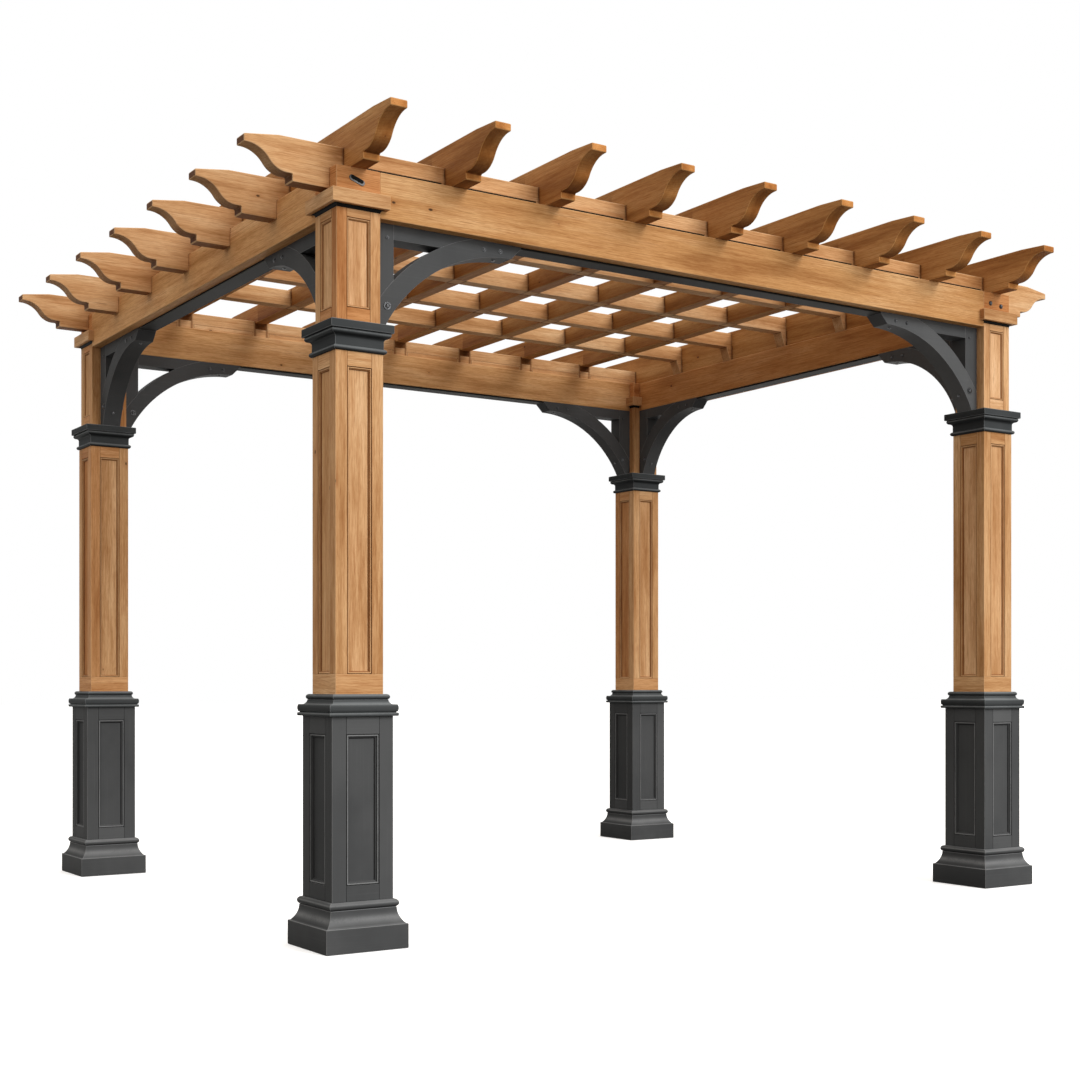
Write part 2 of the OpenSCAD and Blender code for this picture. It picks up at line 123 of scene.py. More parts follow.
# Packing on the beams, and the plate and bolts on the heads of the posts
PACKING_SET_BACK = 1 * mm
PLATE_L, PLATE_W, PLATE_T, PLATE_TILT = 58 * mm, 19 * mm, 5 * mm, math.radians(-18.8)
PLATE_X, PLATE_Z, PLATE_EASE = -6 * mm, 2489 * mm, 0.8 * mm
# Slot of the plate, a dark piece that paints the shade of a recess: half its length and width as shares,
# how proud it is, and its rise as a share of width
SLOT_L, SLOT_W, SLOT_PROUD, SLOT_RISE, SLOT_EASE = 0.42, 0.34, 0.5 * mm, 0.15, 0.4 * mm
PLATE_BOLTS, PLATE_BOLT = (-12 * mm, 8 * mm), (3.2 * mm, 4 * mm)
HEAD_BOLTS, HEAD_BOLT = ((-38.6 * mm, 2483 * mm), (26.4 * mm, 2477 * mm)), (7 * mm, 10 * mm)

# The side that the light comes from: paint that looks to it is paler with dust and painted light, and paint
# that looks away gets painted shade. Then how much of this the brackets show
LIT_SIDE = np.array([0.55, -0.1, 1.0])
BRACKET_DUST_AND_SHADING = 0.08
# On the arm of one bracket the paint is paler, and under it paler where it looks away from the light side:
# painted light
LIT_ARM_TONE, LIT_SOFFIT = 0.4, -0.45
# How much dust and painted light and shade, by the light side, each plinth shows
DIE_DUST_AND_SHADING = {"front_left": 1.0, "front_right": 0.75, "back_left": 1.0, "back_right": 1.0}

# Tone of the cedar: paler below 0, redder above. First that of beams, posts and the shafts' left panels,
# whose tones also paint light and shade on that side: paler for painted light, redder for painted shade
BEAM_TONES = {"front": -0.1, "back": -0.5, "left": -0.6, "right": 0.6}
POST_TONES = {"front_left": 0.0, "front_right": -0.2, "back_left": 0.3, "back_right": 0.15}
LEFT_PANEL_SHADING_TONES = {"front_left": -0.2, "front_right": -1.0, "back_left": 0.75, "back_right": 0.6}
# Then that of single boards, by their part and the quarter turn of their side
NEAR_NECK_TONES = {("stile", 2): 0.6, ("foot", 0): 0.7, ("foot", 3): 0.5}
STILE_TONE, RAIL_TONE, PANEL_TONE, FOOT_RING_TONE, MOULD_TONE = 0.0, 0.1, -0.35, 0.25, 0.3
NECK_PANEL_TONE, NECK_LEFT_PANEL_TONE, HEAD_TONE, CAP_BAND_TONE = -0.9, -0.3, 0.8, -0.15
LOWER_TONE, UPPER_TONE = -0.15, 0.1
# How much the tones scatter
BOARD_SCATTER, PANEL_SCATTER, TIMBER_SCATTER = 0.22, 0.15, 0.2

# How far sawn and moulded edges are eased, and the gap between neighbours
RAFTER_EASE, BEAM_EASE, BOARD_EASE, PAINT_EASE = 3.2 * mm, 3 * mm, 0.9 * mm, 2.4 * mm
MITRE_R = 1.8 * mm
FIT = 0.2 * mm


def corners(node):
    """Lowest and highest corner of a node of the frame."""
    return tuple(np.array(point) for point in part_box(node))


BASE_LO, BASE_HI = corners("front_left_plinth_base")
DIE_LO, DIE_HI = corners("front_left_plinth_die")
SHAFT_LO, SHAFT_HI = corners("front_left_shaft")
COLLAR_LO, COLLAR_HI = corners("front_left_collar")
NECK_LO, NECK_HI = corners("front_left_neck")
CAP_LO, CAP_HI = corners("front_left_post_cap")
BEAM_LO, BEAM_HI = corners("front_beam")
STRIP_LO, STRIP_HI = corners("front_soffit_strip")
CORE_LO, CORE_HI = corners("post_cores")
PLINTH_TOP = corners("front_left_plinth_cap")[1][2]
POST_PLACE = np.abs((BASE_LO + BASE_HI)[:2] / 2)
BLOCK_HALF = (BASE_HI - BASE_LO)[0] / 2
DIE_HALF = (DIE_HI - DIE_LO)[0] / 2
SHAFT_HALF = (SHAFT_HI - SHAFT_LO)[0] / 2
NECK_HALF = (NECK_HI - NECK_LO)[0] / 2
SLAB_HALF = (COLLAR_HI - COLLAR_LO)[0] / 2
POST_CAP_HALF = (CAP_HI - CAP_LO)[0] / 2
CORE_HALF = CORE_HI[0] - POST_PLACE[0]
BEAM_T = (BEAM_HI - BEAM_LO)[1]
BEAM_Z, BEAM_TOP = BEAM_LO[2], BEAM_HI[2]
STRIP_T = (STRIP_HI - STRIP_LO)[2]
POST_CAP_Z = CAP_LO[2] + POST_CAP_MOULD_H
BRACKET_H = BEAM_Z - COLLAR_HI[2]
ROOF_TOP = CAD_BOX[1][2]

# Rafters: their places, and the heights and width of the laps between them
LOWER_PLACES = np.linspace(-POST_PLACE[1], POST_PLACE[1], LOWER_COUNT)
UPPER_PLACES = np.linspace(-POST_PLACE[0], POST_PLACE[0], UPPER_COUNT)
LOWER_TOP, LATTICE_Z = BEAM_TOP + LOWER_RISE, BEAM_TOP + LATTICE_RISE
LATTICE_TOP = LATTICE_Z + LATTICE_DEPTH
LAP, LAP_Z, LATTICE_LAP_Z = RAFTER_T + 2 * LAP_GAP, BEAM_TOP + LOWER_RISE / 2, LATTICE_Z + LATTICE_DEPTH / 2


# Outlines and profiles

def unit(vectors):
    """Vectors of length 1."""
    return vectors / np.linalg.norm(vectors, axis=-1, keepdims=True)


def turning(outline):
    """1 where a closed outline runs anticlockwise and -1 where it doesn't: the sign of its area."""
    next_x, next_y = np.roll(outline, -1, 0).T
    return np.sign((outline[:, 0] * next_y - outline[:, 1] * next_x).sum())


def edge_normals(outline):
    """Normals, to the left, of the edges before and after each point of a closed outline."""
    edge = unit(np.roll(outline, -1, 0) - outline)
    after = np.stack([-edge[:, 1], edge[:, 0]], 1)
    return np.roll(after, 1, 0), after


def mitres(outline):
    """Move of each point when all edges move left by one: both normals' sum over 1 plus their product."""
    before, after = edge_normals(outline)
    return (before + after) / (1 + (before * after).sum(1, keepdims=True))


def eased(outline, radius, steps=3, wear=1.0, painted_shading=0.0, sharpest=math.radians(32)):
    """Closed outline with each corner on an arc, and a wear value that peaks midway along the arcs.

    At a corner P with mitre m, the arc's points are P ± r·(m − n), where n turns from the normal of the
    edge before to that of the edge after, and the sign says whether the corner points out or in. r is the
    radius, or less beside a short edge. Corners that point out wear by the given value, and the others get
    painted shade, as dark as a joint. The points in between take the given painted highlight, or below 0
    painted shade.
    """
    before, after = edge_normals(outline)
    length = np.linalg.norm(np.roll(outline, -1, 0) - outline, axis=1)
    cosine = (before * after).sum(1)
    room = 0.45 * np.minimum(length, np.roll(length, 1))
    room = room * np.sqrt((1 + cosine) / np.maximum(1 - cosine, 1e-9))
    share = np.linspace(0, 1, steps + 1)[None, :, None]
    normal = unit(before[:, None] * (1 - share) + after[:, None] * share)
    side = np.sign(before[:, 0] * after[:, 1] - before[:, 1] * after[:, 0])
    arc_r = (side * np.minimum(radius, room))[:, None, None]
    arc = outline[:, None] + arc_r * (mitres(outline)[:, None] - normal)
    plain = cosine > math.cos(sharpest)
    arc[plain, 0] = outline[plain]
    kept = np.ones(arc.shape[:2], bool)
    kept[plain, 1:] = False
    worn = np.where(side == turning(outline), wear, -1.0)[:, None] * np.sin(np.pi * share[..., 0])
    worn[plain] = np.broadcast_to(painted_shading, len(outline))[plain, None]
    return arc[kept], worn[kept]


def rectangle(low, high):
    """Anticlockwise corners of an upright rectangle."""
    return np.array([low, (high[0], low[1]), high, (low[0], high[1])], float)


def upright_arc(start, upright, steps=9):
    """Arc from one point to another where it stands upright.

    The centre is level with the second point, at r = (dx² + dz²) / 2dx from it, so that a point at the
    angle a lies at x = r·(1 − cos a), z = r·sin a from there.
    """
    dx, dz = start[0] - upright[0], start[1] - upright[1]
    r = (dx * dx + dz * dz) / (2 * dx)
    angle = np.linspace(math.acos(1 - dx / r), 0, steps)
    rise = math.copysign(abs(r), dz)
    return np.stack([upright[0] + r * (1 - np.cos(angle)), upright[1] + rise * np.sin(angle)], 1)


def bead(out, low, high, share=BEAD_BULGE):
    """Bulging face from low to high: two arcs that stand upright where they meet, at the full reach."""
    bulge = share * (high - low)
    middle = (out, (low + high) / 2)
    return np.concatenate([
        upright_arc((out - bulge, low), middle)[:-1],
        upright_arc((out - bulge, high), middle)[::-1],
    ])


# Closed surfaces: arrays of points, quads and caps, with values for the finish

def wrapped_quads(rows, columns, ring):
    """Quads of a grid whose columns close into a loop, and its rows too on a ring."""
    row = np.arange(rows if ring else rows - 1)[:, None]
    column = np.arange(columns)[None]
    below, beside = (row + 1) % rows, (column + 1) % columns
    places = [(row, column), (row, beside), (below, beside), (below, column)]
    return np.stack([r * columns + c for r, c in places], -1).reshape(-1, 4)


def shell(points, grain, tone, wear, end, ring=False):
    """Closed surface from a grid of points. Its volume, summed over the faces, says which way they turn."""
    rows, columns = points.shape[:2]
    co = points.reshape(-1, 3)
    quads = wrapped_quads(rows, columns, ring)
    caps = [] if ring else [np.arange(columns)[::-1], np.arange(columns) + (rows - 1) * columns]
    middle = co.mean(0)
    volume = 0.0
    for faces in [quads] + [cap[None] for cap in caps]:
        p = co[faces] - middle
        fan = np.cross(p[:, 1:-1], p[:, 2:])
        volume += (p[:, :1] * fan).sum()
    if volume < 0:
        quads, caps = quads[:, ::-1], [cap[::-1] for cap in caps]
    full = np.broadcast_arrays(np.zeros((rows, columns)), tone, wear, end)[1:]
    finish = np.stack(full, -1).reshape(-1, 3)
    return {"co": co, "quads": quads, "caps": caps, "grain": grain.reshape(-1, 3), "finish": finish}


def from_log():
    """Random place in a log for a board's grain: far along it, and a hand's width from its pith."""
    angle = rng.uniform(0, 2 * np.pi)
    reach = rng.uniform(0.05, 0.16)
    return np.array([rng.uniform(-20, 20), reach * math.cos(angle), reach * math.sin(angle)])


def stronger(first, second):
    """The value that is further from 0."""
    first, second = np.broadcast_arrays(first, second)
    return np.where(np.abs(first) > np.abs(second), first, second)


def light_side_look(facing, dust_and_shading):
    """Look of a surface to the light side, for the dusting and for painted light and shade: (1 + amount ·
    normal · light side) / 2.
    """
    return 0.5 + 0.5 * dust_and_shading * facing


def slab(outline, depth, ease, axes, origin, along=0, tone=0.0, wear=(1.0, 1.0), dust_and_shading=0.0, tails=None):
    """Board cut to an anticlockwise outline, with a quarter-round along every arris.

    Ring t of the surface is the eased outline moved in by ease·(1 − sin t), at ease·(1 − cos t) from the
    face. Two flat caps close it. The rows of axes are the directions of the outline's two axes and of the
    depth, and along says which of them the grain follows. wear is for the outline's corners and for the
    arrises, below 0 in a joint, and inner corners get painted shade. The third value of the finish is end
    grain, or, with an amount of dusting and painted light, how far the surface looks to the light side.
    tails gives where along a board its tails leave the beam, where their step is and where their tip, and
    the power of the end grain there. Painted shade lies on what looks down on a tail, by the normal's share
    downwards, and fades from the step to the tip.
    """
    loop, loop_wear = eased(outline, 1.6 * ease, wear=wear[0])
    t = np.linspace(0, QUARTER, 4)
    inset = ease * (1 - np.sin(t))
    lift = ease * (1 - np.cos(t)) - depth / 2
    inset = np.concatenate([inset, inset[::-1]])[:, None, None]
    level = np.concatenate([lift, -lift[::-1]])[:, None]
    ring_wear = wear[1] * np.concatenate([np.sin(2 * t), np.sin(2 * t)[::-1]])[:, None]
    lean = mitres(loop)
    inward = unit(lean)
    flat = loop[None] + inset * lean[None]
    local = np.dstack([flat, np.broadcast_to(level, flat.shape[:2])])
    on_cap = np.zeros((len(level), 1))
    on_cap[[0, -1]] = 1
    if dust_and_shading:
        cap_facing = np.sign(level) * (axes[2] @ LIT_SIDE)
        facing = np.where(on_cap > 0, cap_facing, -(inward @ axes[:2] @ LIT_SIDE)[None])
        look = light_side_look(facing, dust_and_shading)
    else:
        cut = np.abs(inward[:, along % 2])
        if tails:
            heel, step, tip, power = tails
            place = np.abs(loop[:, 0])
            near = np.clip((tip - place) / (tip - step), 0, 1)
            # Painted shade under the tails
            under = TAIL_UNDER_SHADE * near * np.maximum(inward[:, 1], 0) * (place > heel)
            loop_wear = stronger(loop_wear, -under)
            cut = cut ** power * (place > heel)
        look = on_cap if along == 2 else (1 - on_cap) * cut[None]
    grain = np.roll(local, -along, -1) + from_log()
    worn = stronger(ring_wear, (1 - on_cap) * loop_wear[None])
    return shell(origin + local @ axes, grain, tone, worn, look)


def carried(profile, stations, ease, tone=0.0, ring=True, wear=1.0, dust_and_shading=0.0, painted_shading=0.0):
    """Moulding: the profile's point (a, b) at a station lies at start + a·lean + b·rise.

    The grain follows the station's own direction, and mitred corners count as worn. With an amount of
    dusting and painted light, the third value of the finish is how far the surface looks to the light side,
    as on a board. The points between the profile's corners take the given painted highlight, or below 0
    painted shade.
    """
    start, lean, rise, way, corner_wear = stations
    loop, loop_wear = eased(profile, ease, 3, wear, painted_shading)
    out = -turning(profile) * unit(mitres(loop))
    side = unit(lean - (lean * way).sum(-1, keepdims=True) * way)
    facing = (side @ LIT_SIDE)[:, None] * out[:, 0] + (rise @ LIT_SIDE) * out[:, 1]
    look = light_side_look(facing, dust_and_shading) if dust_and_shading else 0.0
    points = start[:, None] + loop[None, :, :1] * lean[:, None] + loop[None, :, 1:] * rise
    grain_axes = (way, np.cross(rise, way), rise + 0 * way)
    grain = np.stack([(points * v[:, None]).sum(-1) for v in grain_axes], -1) + from_log()
    worn = stronger(loop_wear[None], wear * corner_wear[:, None])
    return shell(points, grain, tone, worn, look, ring)


def corner_stations(corner, diagonal, first, turn, u, v, round_r=MITRE_R, steps=3):
    """Stations round a corner: start = corner + r·(normal − diagonal), as the normal turns by a quarter."""
    share = np.linspace(0, 1, steps + 1)
    angle = first + turn * share
    normal = np.cos(angle)[:, None] * u + np.sin(angle)[:, None] * v
    side = first + turn * np.round(share)
    way = -np.sin(side)[:, None] * u + np.cos(side)[:, None] * v
    lean = np.repeat(diagonal[None], steps + 1, 0)
    return corner + round_r * (normal - lean), lean, way, np.sin(np.pi * share)


def frame_stations(centre, half_u, half_v, u, v, inward=False, round_r=MITRE_R, steps=3):
    """Stations round a rectangle in the plane of u and v, leaning out from it or in towards its middle."""
    found = []
    for k in range(4):
        first = QUARTER * k
        signs = np.sign([math.cos(first + np.pi / 4), math.sin(first + np.pi / 4)])
        corner = centre + signs[0] * half_u * u + signs[1] * half_v * v
        diagonal = signs[0] * u + signs[1] * v
        found.append(corner_stations(corner, diagonal, first, QUARTER, u, v, round_r, steps))
    start, lean, way, wear = (np.concatenate(values) for values in zip(*found))
    return start, -lean if inward else lean, np.cross(u, v), way, wear


def turned(profile, centre, axis, sides=16):
    """Round piece: the profile's (r, h) at the angle a lies at centre + r·(cos a·u + sin a·v) + h·axis."""
    u = unit(np.cross(axis, Z if abs(axis[2]) < 0.9 else X))
    v = np.cross(axis, u)
    angle = np.linspace(0, 2 * np.pi, sides, endpoint=False)[None, :, None]
    r, h = np.array(profile)[:, None, :1], np.array(profile)[:, None, 1:]
    points = centre + r * (np.cos(angle) * u + np.sin(angle) * v) + h * axis
    return shell(points, points, 0.0, 0.0, 0.0)


def show(name, data):
    """New object in the scene, for a mesh, a lamp or the camera."""
    obj = bpy.data.objects.new(name, data)
    bpy.context.scene.collection.objects.link(obj)
    return obj


def piece(name, shells, finish, slot, *nodes):
    """Joins closed surfaces into one mesh that rides on the frame and stands for the nodes."""
    offsets = np.cumsum([0] + [len(s["co"]) for s in shells])
    polygons = []
    for s, offset in zip(shells, offsets):
        polygons += [faces + offset for faces in (s["quads"], *(cap[None] for cap in s["caps"]))]
    corner_count = np.concatenate([np.full(len(faces), faces.shape[1]) for faces in polygons])
    corner_verts = np.concatenate([faces.ravel() for faces in polygons])
    mesh = bpy.data.meshes.new(name)
    mesh.vertices.add(offsets[-1])
    mesh.vertices.foreach_set("co", np.concatenate([s["co"] for s in shells]).ravel())
    mesh.loops.add(len(corner_verts))
    mesh.loops.foreach_set("vertex_index", corner_verts)
    mesh.polygons.add(len(corner_count))
    mesh.polygons.foreach_set("loop_start", np.cumsum(corner_count) - corner_count)
    mesh.update(calc_edges=True)
    mesh.polygons.foreach_set("use_smooth", np.ones(len(corner_count), bool))
    mesh.set_sharp_from_angle(angle=math.radians(38))
    for key in ("grain", "finish"):
        values = np.concatenate([s[key] for s in shells]).astype(np.float32)
        mesh.attributes.new(key, "FLOAT_VECTOR", "POINT").data.foreach_set("vector", values.ravel())
    mesh.materials.append(finish)
    obj = show(name, mesh)
    flatten = obj.modifiers.new("flat faces", "WEIGHTED_NORMAL")
    flatten.keep_sharp = True
    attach(obj, "root")
    if nodes:
        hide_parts(*nodes)


# Finishes: first the colours that tint the cedar and the paint

LATE_WOOD, BAND, FIBRE = (0.66, 0.52, 0.40), (0.70, 0.56, 0.44), (0.70, 0.58, 0.48)
RED_TIMBER, PALE_TIMBER = (0.92, 0.70, 0.52), (1.24, 1.32, 1.5)
CHECK, KNOT_HALO, KNOT = (0.30, 0.20, 0.13), (0.66, 0.46, 0.32), (0.035, 0.018, 0.010)
# The second of these paints shade on the rafters' sheltered sides, and the third darkens joints and paints
# shade in inner corners, in laps and under the tails
CLOUD, SHELTER_SHADE, JOINT_GRIME_AND_SHADE = (0.80, 0.68, 0.58), (0.55, 0.44, 0.34), (0.26, 0.17, 0.11)
# The first of these paints shade on paint that looks away from the light side, and the second darkens joints
# and paints shade in inner corners and creases
PAINTED_LEE_SHADE, PAINT_GRIME_AND_SHADE = (0.36, 0.36, 0.36), (0.25, 0.25, 0.25)


def feed(tree, socket, value):
    """Links a value to an input, or sets the input to a plain number, vector or colour."""
    if isinstance(value, bpy.types.NodeSocket):
        tree.links.new(value, socket)
    elif socket.type == "RGBA":
        socket.default_value = (*value, 1)
    else:
        socket.default_value = value


def give(tree, node, **inputs):
    """Feeds a node's inputs by name."""
    for key, value in inputs.items():
        feed(tree, node.inputs[key.replace("_", " ")], value)


def add(tree, kind, settings=None, **inputs):
    """Adds a node, sets its properties, and feeds its inputs."""
    node = tree.nodes.new(kind)
    for key, value in (settings or {}).items():
        setattr(node, key, value)
    give(tree, node, **inputs)
    return node


def use(tree, group, **inputs):
    """Places a node group, and gives its outputs."""
    return add(tree, "ShaderNodeGroup", {"node_tree": group}, **inputs).outputs


def calc(tree, operation, *values, clamp=False):
    """Math node on numbers or sockets."""
    node = add(tree, "ShaderNodeMath", {"operation": operation, "use_clamp": clamp})
    for socket, value in zip(node.inputs, values):
        feed(tree, socket, value)
    return node.outputs[0]


def spread(tree, value, low, high, to_low=0.0, to_high=1.0):
    """Smooth step from one range to another."""
    node = add(tree, "ShaderNodeMapRange", {"interpolation_type": "SMOOTHSTEP"}, Value=value,
               From_Min=low, From_Max=high, To_Min=to_low, To_Max=to_high)
    return node.outputs[0]


def tint(tree, mode, share, first, second):
    """Mix of two colours."""
    node = add(tree, "ShaderNodeMix", {"data_type": "RGBA", "blend_type": mode, "clamp_factor": True})
    for index, value in ((0, share), (6, first), (7, second)):
        feed(tree, node.inputs[index], value)
    return node.outputs[2]


def stretched(tree, vector, scale):
    """Vector times a scale for each axis."""
    node = add(tree, "ShaderNodeVectorMath", {"operation": "MULTIPLY"})
    feed(tree, node.inputs[0], vector)
    feed(tree, node.inputs[1], scale)
    return node.outputs[0]


def noise(tree, vector, scale, detail=2.0, roughness=0.5):
    """Noise value over a stretched vector."""
    node = add(tree, "ShaderNodeTexNoise", Vector=stretched(tree, vector, scale), Scale=1.0, Detail=detail,
               Roughness=roughness)
    return node.outputs[0]


def new_group(name, inputs, outputs):
    """Shader node group with named sockets, listed by kind. Gives its tree, inputs and output node."""
    tree = bpy.data.node_groups.new(name, "ShaderNodeTree")
    for direction, sockets in (("INPUT", inputs), ("OUTPUT", outputs)):
        for kind, names in sockets.items():
            for socket in names:
                tree.interface.new_socket(socket, in_out=direction, socket_type="NodeSocket" + kind)
    return tree, tree.nodes.new("NodeGroupInput").outputs, tree.nodes.new("NodeGroupOutput")


def cedar_grain():
    """Cedar in the round: yearly rings about the log's axis, soft bands, fibres, short checks, pin knots."""
    tree, given, out = new_group(
        "cedar grain",
        {"Vector": ["Grain"], "Float": ["Tone", "End", "Ring"], "Color": ["Pale", "Mid", "Deep", "Cut"]},
        {"Color": ["Color"], "Float": ["Height", "Sheen"]},
    )
    grain, tone, end = given["Grain"], given["Tone"], given["End"]
    broad = noise(tree, grain, (1.3, 12, 12), 4, 0.6)
    streak = noise(tree, grain, (5.5, 150, 150), 3, 0.65)
    fibre = noise(tree, grain, (32, 520, 520), 2, 0.6)
    wander = noise(tree, grain, (1.3, 4, 4), 2)
    part = add(tree, "ShaderNodeSeparateXYZ", Vector=grain).outputs
    squares = [calc(tree, "MULTIPLY", part[i], part[i]) for i in (1, 2)]
    reach = calc(tree, "MULTIPLY_ADD", wander, 0.075, calc(tree, "SQRT", calc(tree, "ADD", *squares)))
    year = calc(tree, "FRACT", calc(tree, "DIVIDE", reach, given["Ring"]))
    late = calc(tree, "MULTIPLY", calc(tree, "POWER", year, 2.5), spread(tree, broad, 0.3, 0.6))
    body = tint(tree, "MIX", spread(tree, broad, 0.34, 0.52), given["Deep"], given["Mid"])
    body = tint(tree, "MIX", spread(tree, broad, 0.48, 0.70), body, given["Pale"])
    ringed = tint(tree, "MULTIPLY", calc(tree, "MULTIPLY", late, 0.38), body, LATE_WOOD)
    along_grain = calc(tree, "MULTIPLY_ADD", end, -0.75, 1.0, clamp=True)
    bands = calc(tree, "MULTIPLY", spread(tree, streak, 0.56, 0.34, 0.0, 0.55), along_grain)
    fibres = calc(tree, "MULTIPLY", spread(tree, fibre, 0.60, 0.36, 0.0, 0.5), along_grain)
    fibred = tint(tree, "MULTIPLY", fibres, tint(tree, "MULTIPLY", bands, ringed, BAND), FIBRE)
    red = tint(tree, "MULTIPLY", spread(tree, tone, 0.0, 1.0), fibred, RED_TIMBER)
    toned = tint(tree, "MULTIPLY", spread(tree, tone, 0.0, -1.0), red, PALE_TIMBER)
    split = spread(tree, noise(tree, grain, (7, 330, 330), 1), 0.67, 0.75)
    check = calc(tree, "MULTIPLY", split, spread(tree, broad, 0.52, 0.60))
    checked = tint(tree, "MULTIPLY", calc(tree, "MULTIPLY", check, 0.7), toned, CHECK)
    cell = add(tree, "ShaderNodeTexVoronoi", Vector=stretched(tree, grain, (6, 11, 11)), Scale=1.0).outputs
    chance = add(tree, "ShaderNodeSeparateColor", Color=cell["Color"]).outputs[0]
    drawn = calc(tree, "GREATER_THAN", chance, 0.4)
    ragged = calc(tree, "MULTIPLY_ADD", streak, 0.05, cell["Distance"])
    knot = calc(tree, "MULTIPLY", spread(tree, ragged, 0.085, 0.055), drawn)
    halo = calc(tree, "MULTIPLY", spread(tree, ragged, 0.24, 0.06, 0.0, 0.3), drawn)
    haloed = tint(tree, "MULTIPLY", halo, checked, KNOT_HALO)
    knotted = tint(tree, "MIX", calc(tree, "MULTIPLY", knot, 0.9), haloed, KNOT)
    grooves = calc(tree, "MULTIPLY_ADD", fibre, 0.7, calc(tree, "MULTIPLY", late, -0.3))
    marks = calc(tree, "MULTIPLY_ADD", check, -0.6, calc(tree, "MULTIPLY", knot, -0.5))
    give(tree, out, Color=tint(tree, "MULTIPLY", end, knotted, given["Cut"]),
         Height=calc(tree, "ADD", grooves, marks),
         Sheen=calc(tree, "MULTIPLY_ADD", streak, 0.2, calc(tree, "MULTIPLY", fibre, 0.1)))
    return tree


def edge_wear_and_shade():
    """Rubbing on the arrises, where Edge is above 0, broken up by two noises. Below 0, dark joints and
    painted shade in inner corners, creases and under the tails.
    """
    tree, given, out = new_group("edge wear and shade", {"Vector": ["Place"], "Float": ["Edge", "Amount"]},
                                 {"Float": ["Rubbed", "Grime"]})
    patchy = noise(tree, given["Place"], (9, 9, 9), 3)
    fine = noise(tree, given["Place"], (140, 140, 140), 2)
    broken = calc(tree, "MULTIPLY_ADD", fine, 0.5, calc(tree, "MULTIPLY", patchy, 0.7))
    mask = calc(tree, "MULTIPLY", given["Edge"], spread(tree, broken, 0.3, 0.7, 0.35, 1.0))
    give(tree, out, Rubbed=calc(tree, "MULTIPLY", mask, given["Amount"], clamp=True),
         Grime=calc(tree, "MULTIPLY", given["Edge"], -1.0, clamp=True))
    return tree


def handling():
    """Dust and handling marks: soft clouds with a fine speckle."""
    tree, given, out = new_group("handling", {"Vector": ["Place"]}, {"Float": ["Cloud", "Speckle"]})
    give(tree, out, Cloud=noise(tree, given["Place"], (3.2, 3.2, 2.4), 4, 0.6),
         Speckle=noise(tree, given["Place"], (420, 420, 420), 2))
    return tree


def lap_shade():
    """Painted shade in the corners where rafters cross: strongest at Half from each lap, and gone at Reach.

    The laps lie at every Pitch as far as Last. Over the beams, which is beyond Edge or Rim, they end at Top.
    Within Edge and Rim the sides of the rafters get painted shade, more and more from the height Roof down
    to Soffit, but the undersides only a little.
    """
    tree, given, out = new_group(
        "lap shade",
        {"Float": ["Along", "Across", "Height", "Pitch", "Half", "Reach", "Last", "Edge", "Rim", "Top",
                   "Roof", "Soffit"]},
        {"Float": ["Grime", "Shelter"]},
    )
    half_pitch = calc(tree, "MULTIPLY", given["Pitch"], 0.5)
    minus_half = calc(tree, "MULTIPLY", half_pitch, -1.0)
    from_last = calc(tree, "SUBTRACT", given["Along"], given["Last"])
    from_lap = calc(tree, "ABSOLUTE", calc(tree, "WRAP", from_last, half_pitch, minus_half))
    to_corner = calc(tree, "ABSOLUTE", calc(tree, "SUBTRACT", from_lap, given["Half"]))
    near = calc(tree, "SUBTRACT", 1.0, calc(tree, "DIVIDE", to_corner, given["Reach"]), clamp=True)
    along, across = (calc(tree, "ABSOLUTE", given[name]) for name in ("Along", "Across"))
    inside = calc(tree, "MULTIPLY", calc(tree, "LESS_THAN", along, given["Edge"]),
                  calc(tree, "LESS_THAN", across, given["Rim"]))
    crossed = calc(tree, "MAXIMUM", inside, calc(tree, "LESS_THAN", given["Height"], given["Top"]))
    not_tail = calc(tree, "LESS_THAN", along, calc(tree, "ADD", given["Last"], half_pitch))
    lapped = calc(tree, "MULTIPLY", not_tail, crossed)
    drop = calc(tree, "SUBTRACT", given["Roof"], given["Height"])
    level = calc(tree, "DIVIDE", drop, calc(tree, "SUBTRACT", given["Roof"], given["Soffit"]))
    side = spread(tree, level, 1.0, 0.94, 0.25, 1.0)
    covered = calc(tree, "MULTIPLY", spread(tree, level, 0.0, 0.7), side)
    give(tree, out, Grime=calc(tree, "MULTIPLY", calc(tree, "POWER", near, 2.0), lapped),
         Shelter=calc(tree, "MULTIPLY", covered, inside))
    return tree


GRAIN_GROUP, WEAR_AND_SHADE_GROUP, HANDLING_GROUP, LAP_SHADE_GROUP = cedar_grain(), edge_wear_and_shade(), handling(), lap_shade()


def new_finish(name):
    """Material with its values of the surface: grain vector, parts of the finish, place, and handling marks.

    The parts of the finish are tone, wear, and end grain or the look to the weather.
    """
    material = bpy.data.materials.new(name)
    material.use_nodes = True
    tree = material.node_tree
    shader = tree.nodes["Principled BSDF"]
    grain = add(tree, "ShaderNodeAttribute", {"attribute_name": "grain"}).outputs["Vector"]
    finish = add(tree, "ShaderNodeAttribute", {"attribute_name": "finish"}).outputs["Vector"]
    parts = add(tree, "ShaderNodeSeparateXYZ", Vector=finish).outputs
    place = add(tree, "ShaderNodeTexCoord").outputs["Object"]
    return material, tree, shader, grain, parts, place, use(tree, HANDLING_GROUP, Place=place)


def bump(tree, shader, height, strength, distance):
    """Bump from a height."""
    node = add(tree, "ShaderNodeBump", Height=height, Strength=strength, Distance=distance)
    give(tree, shader, Normal=node.outputs[0])


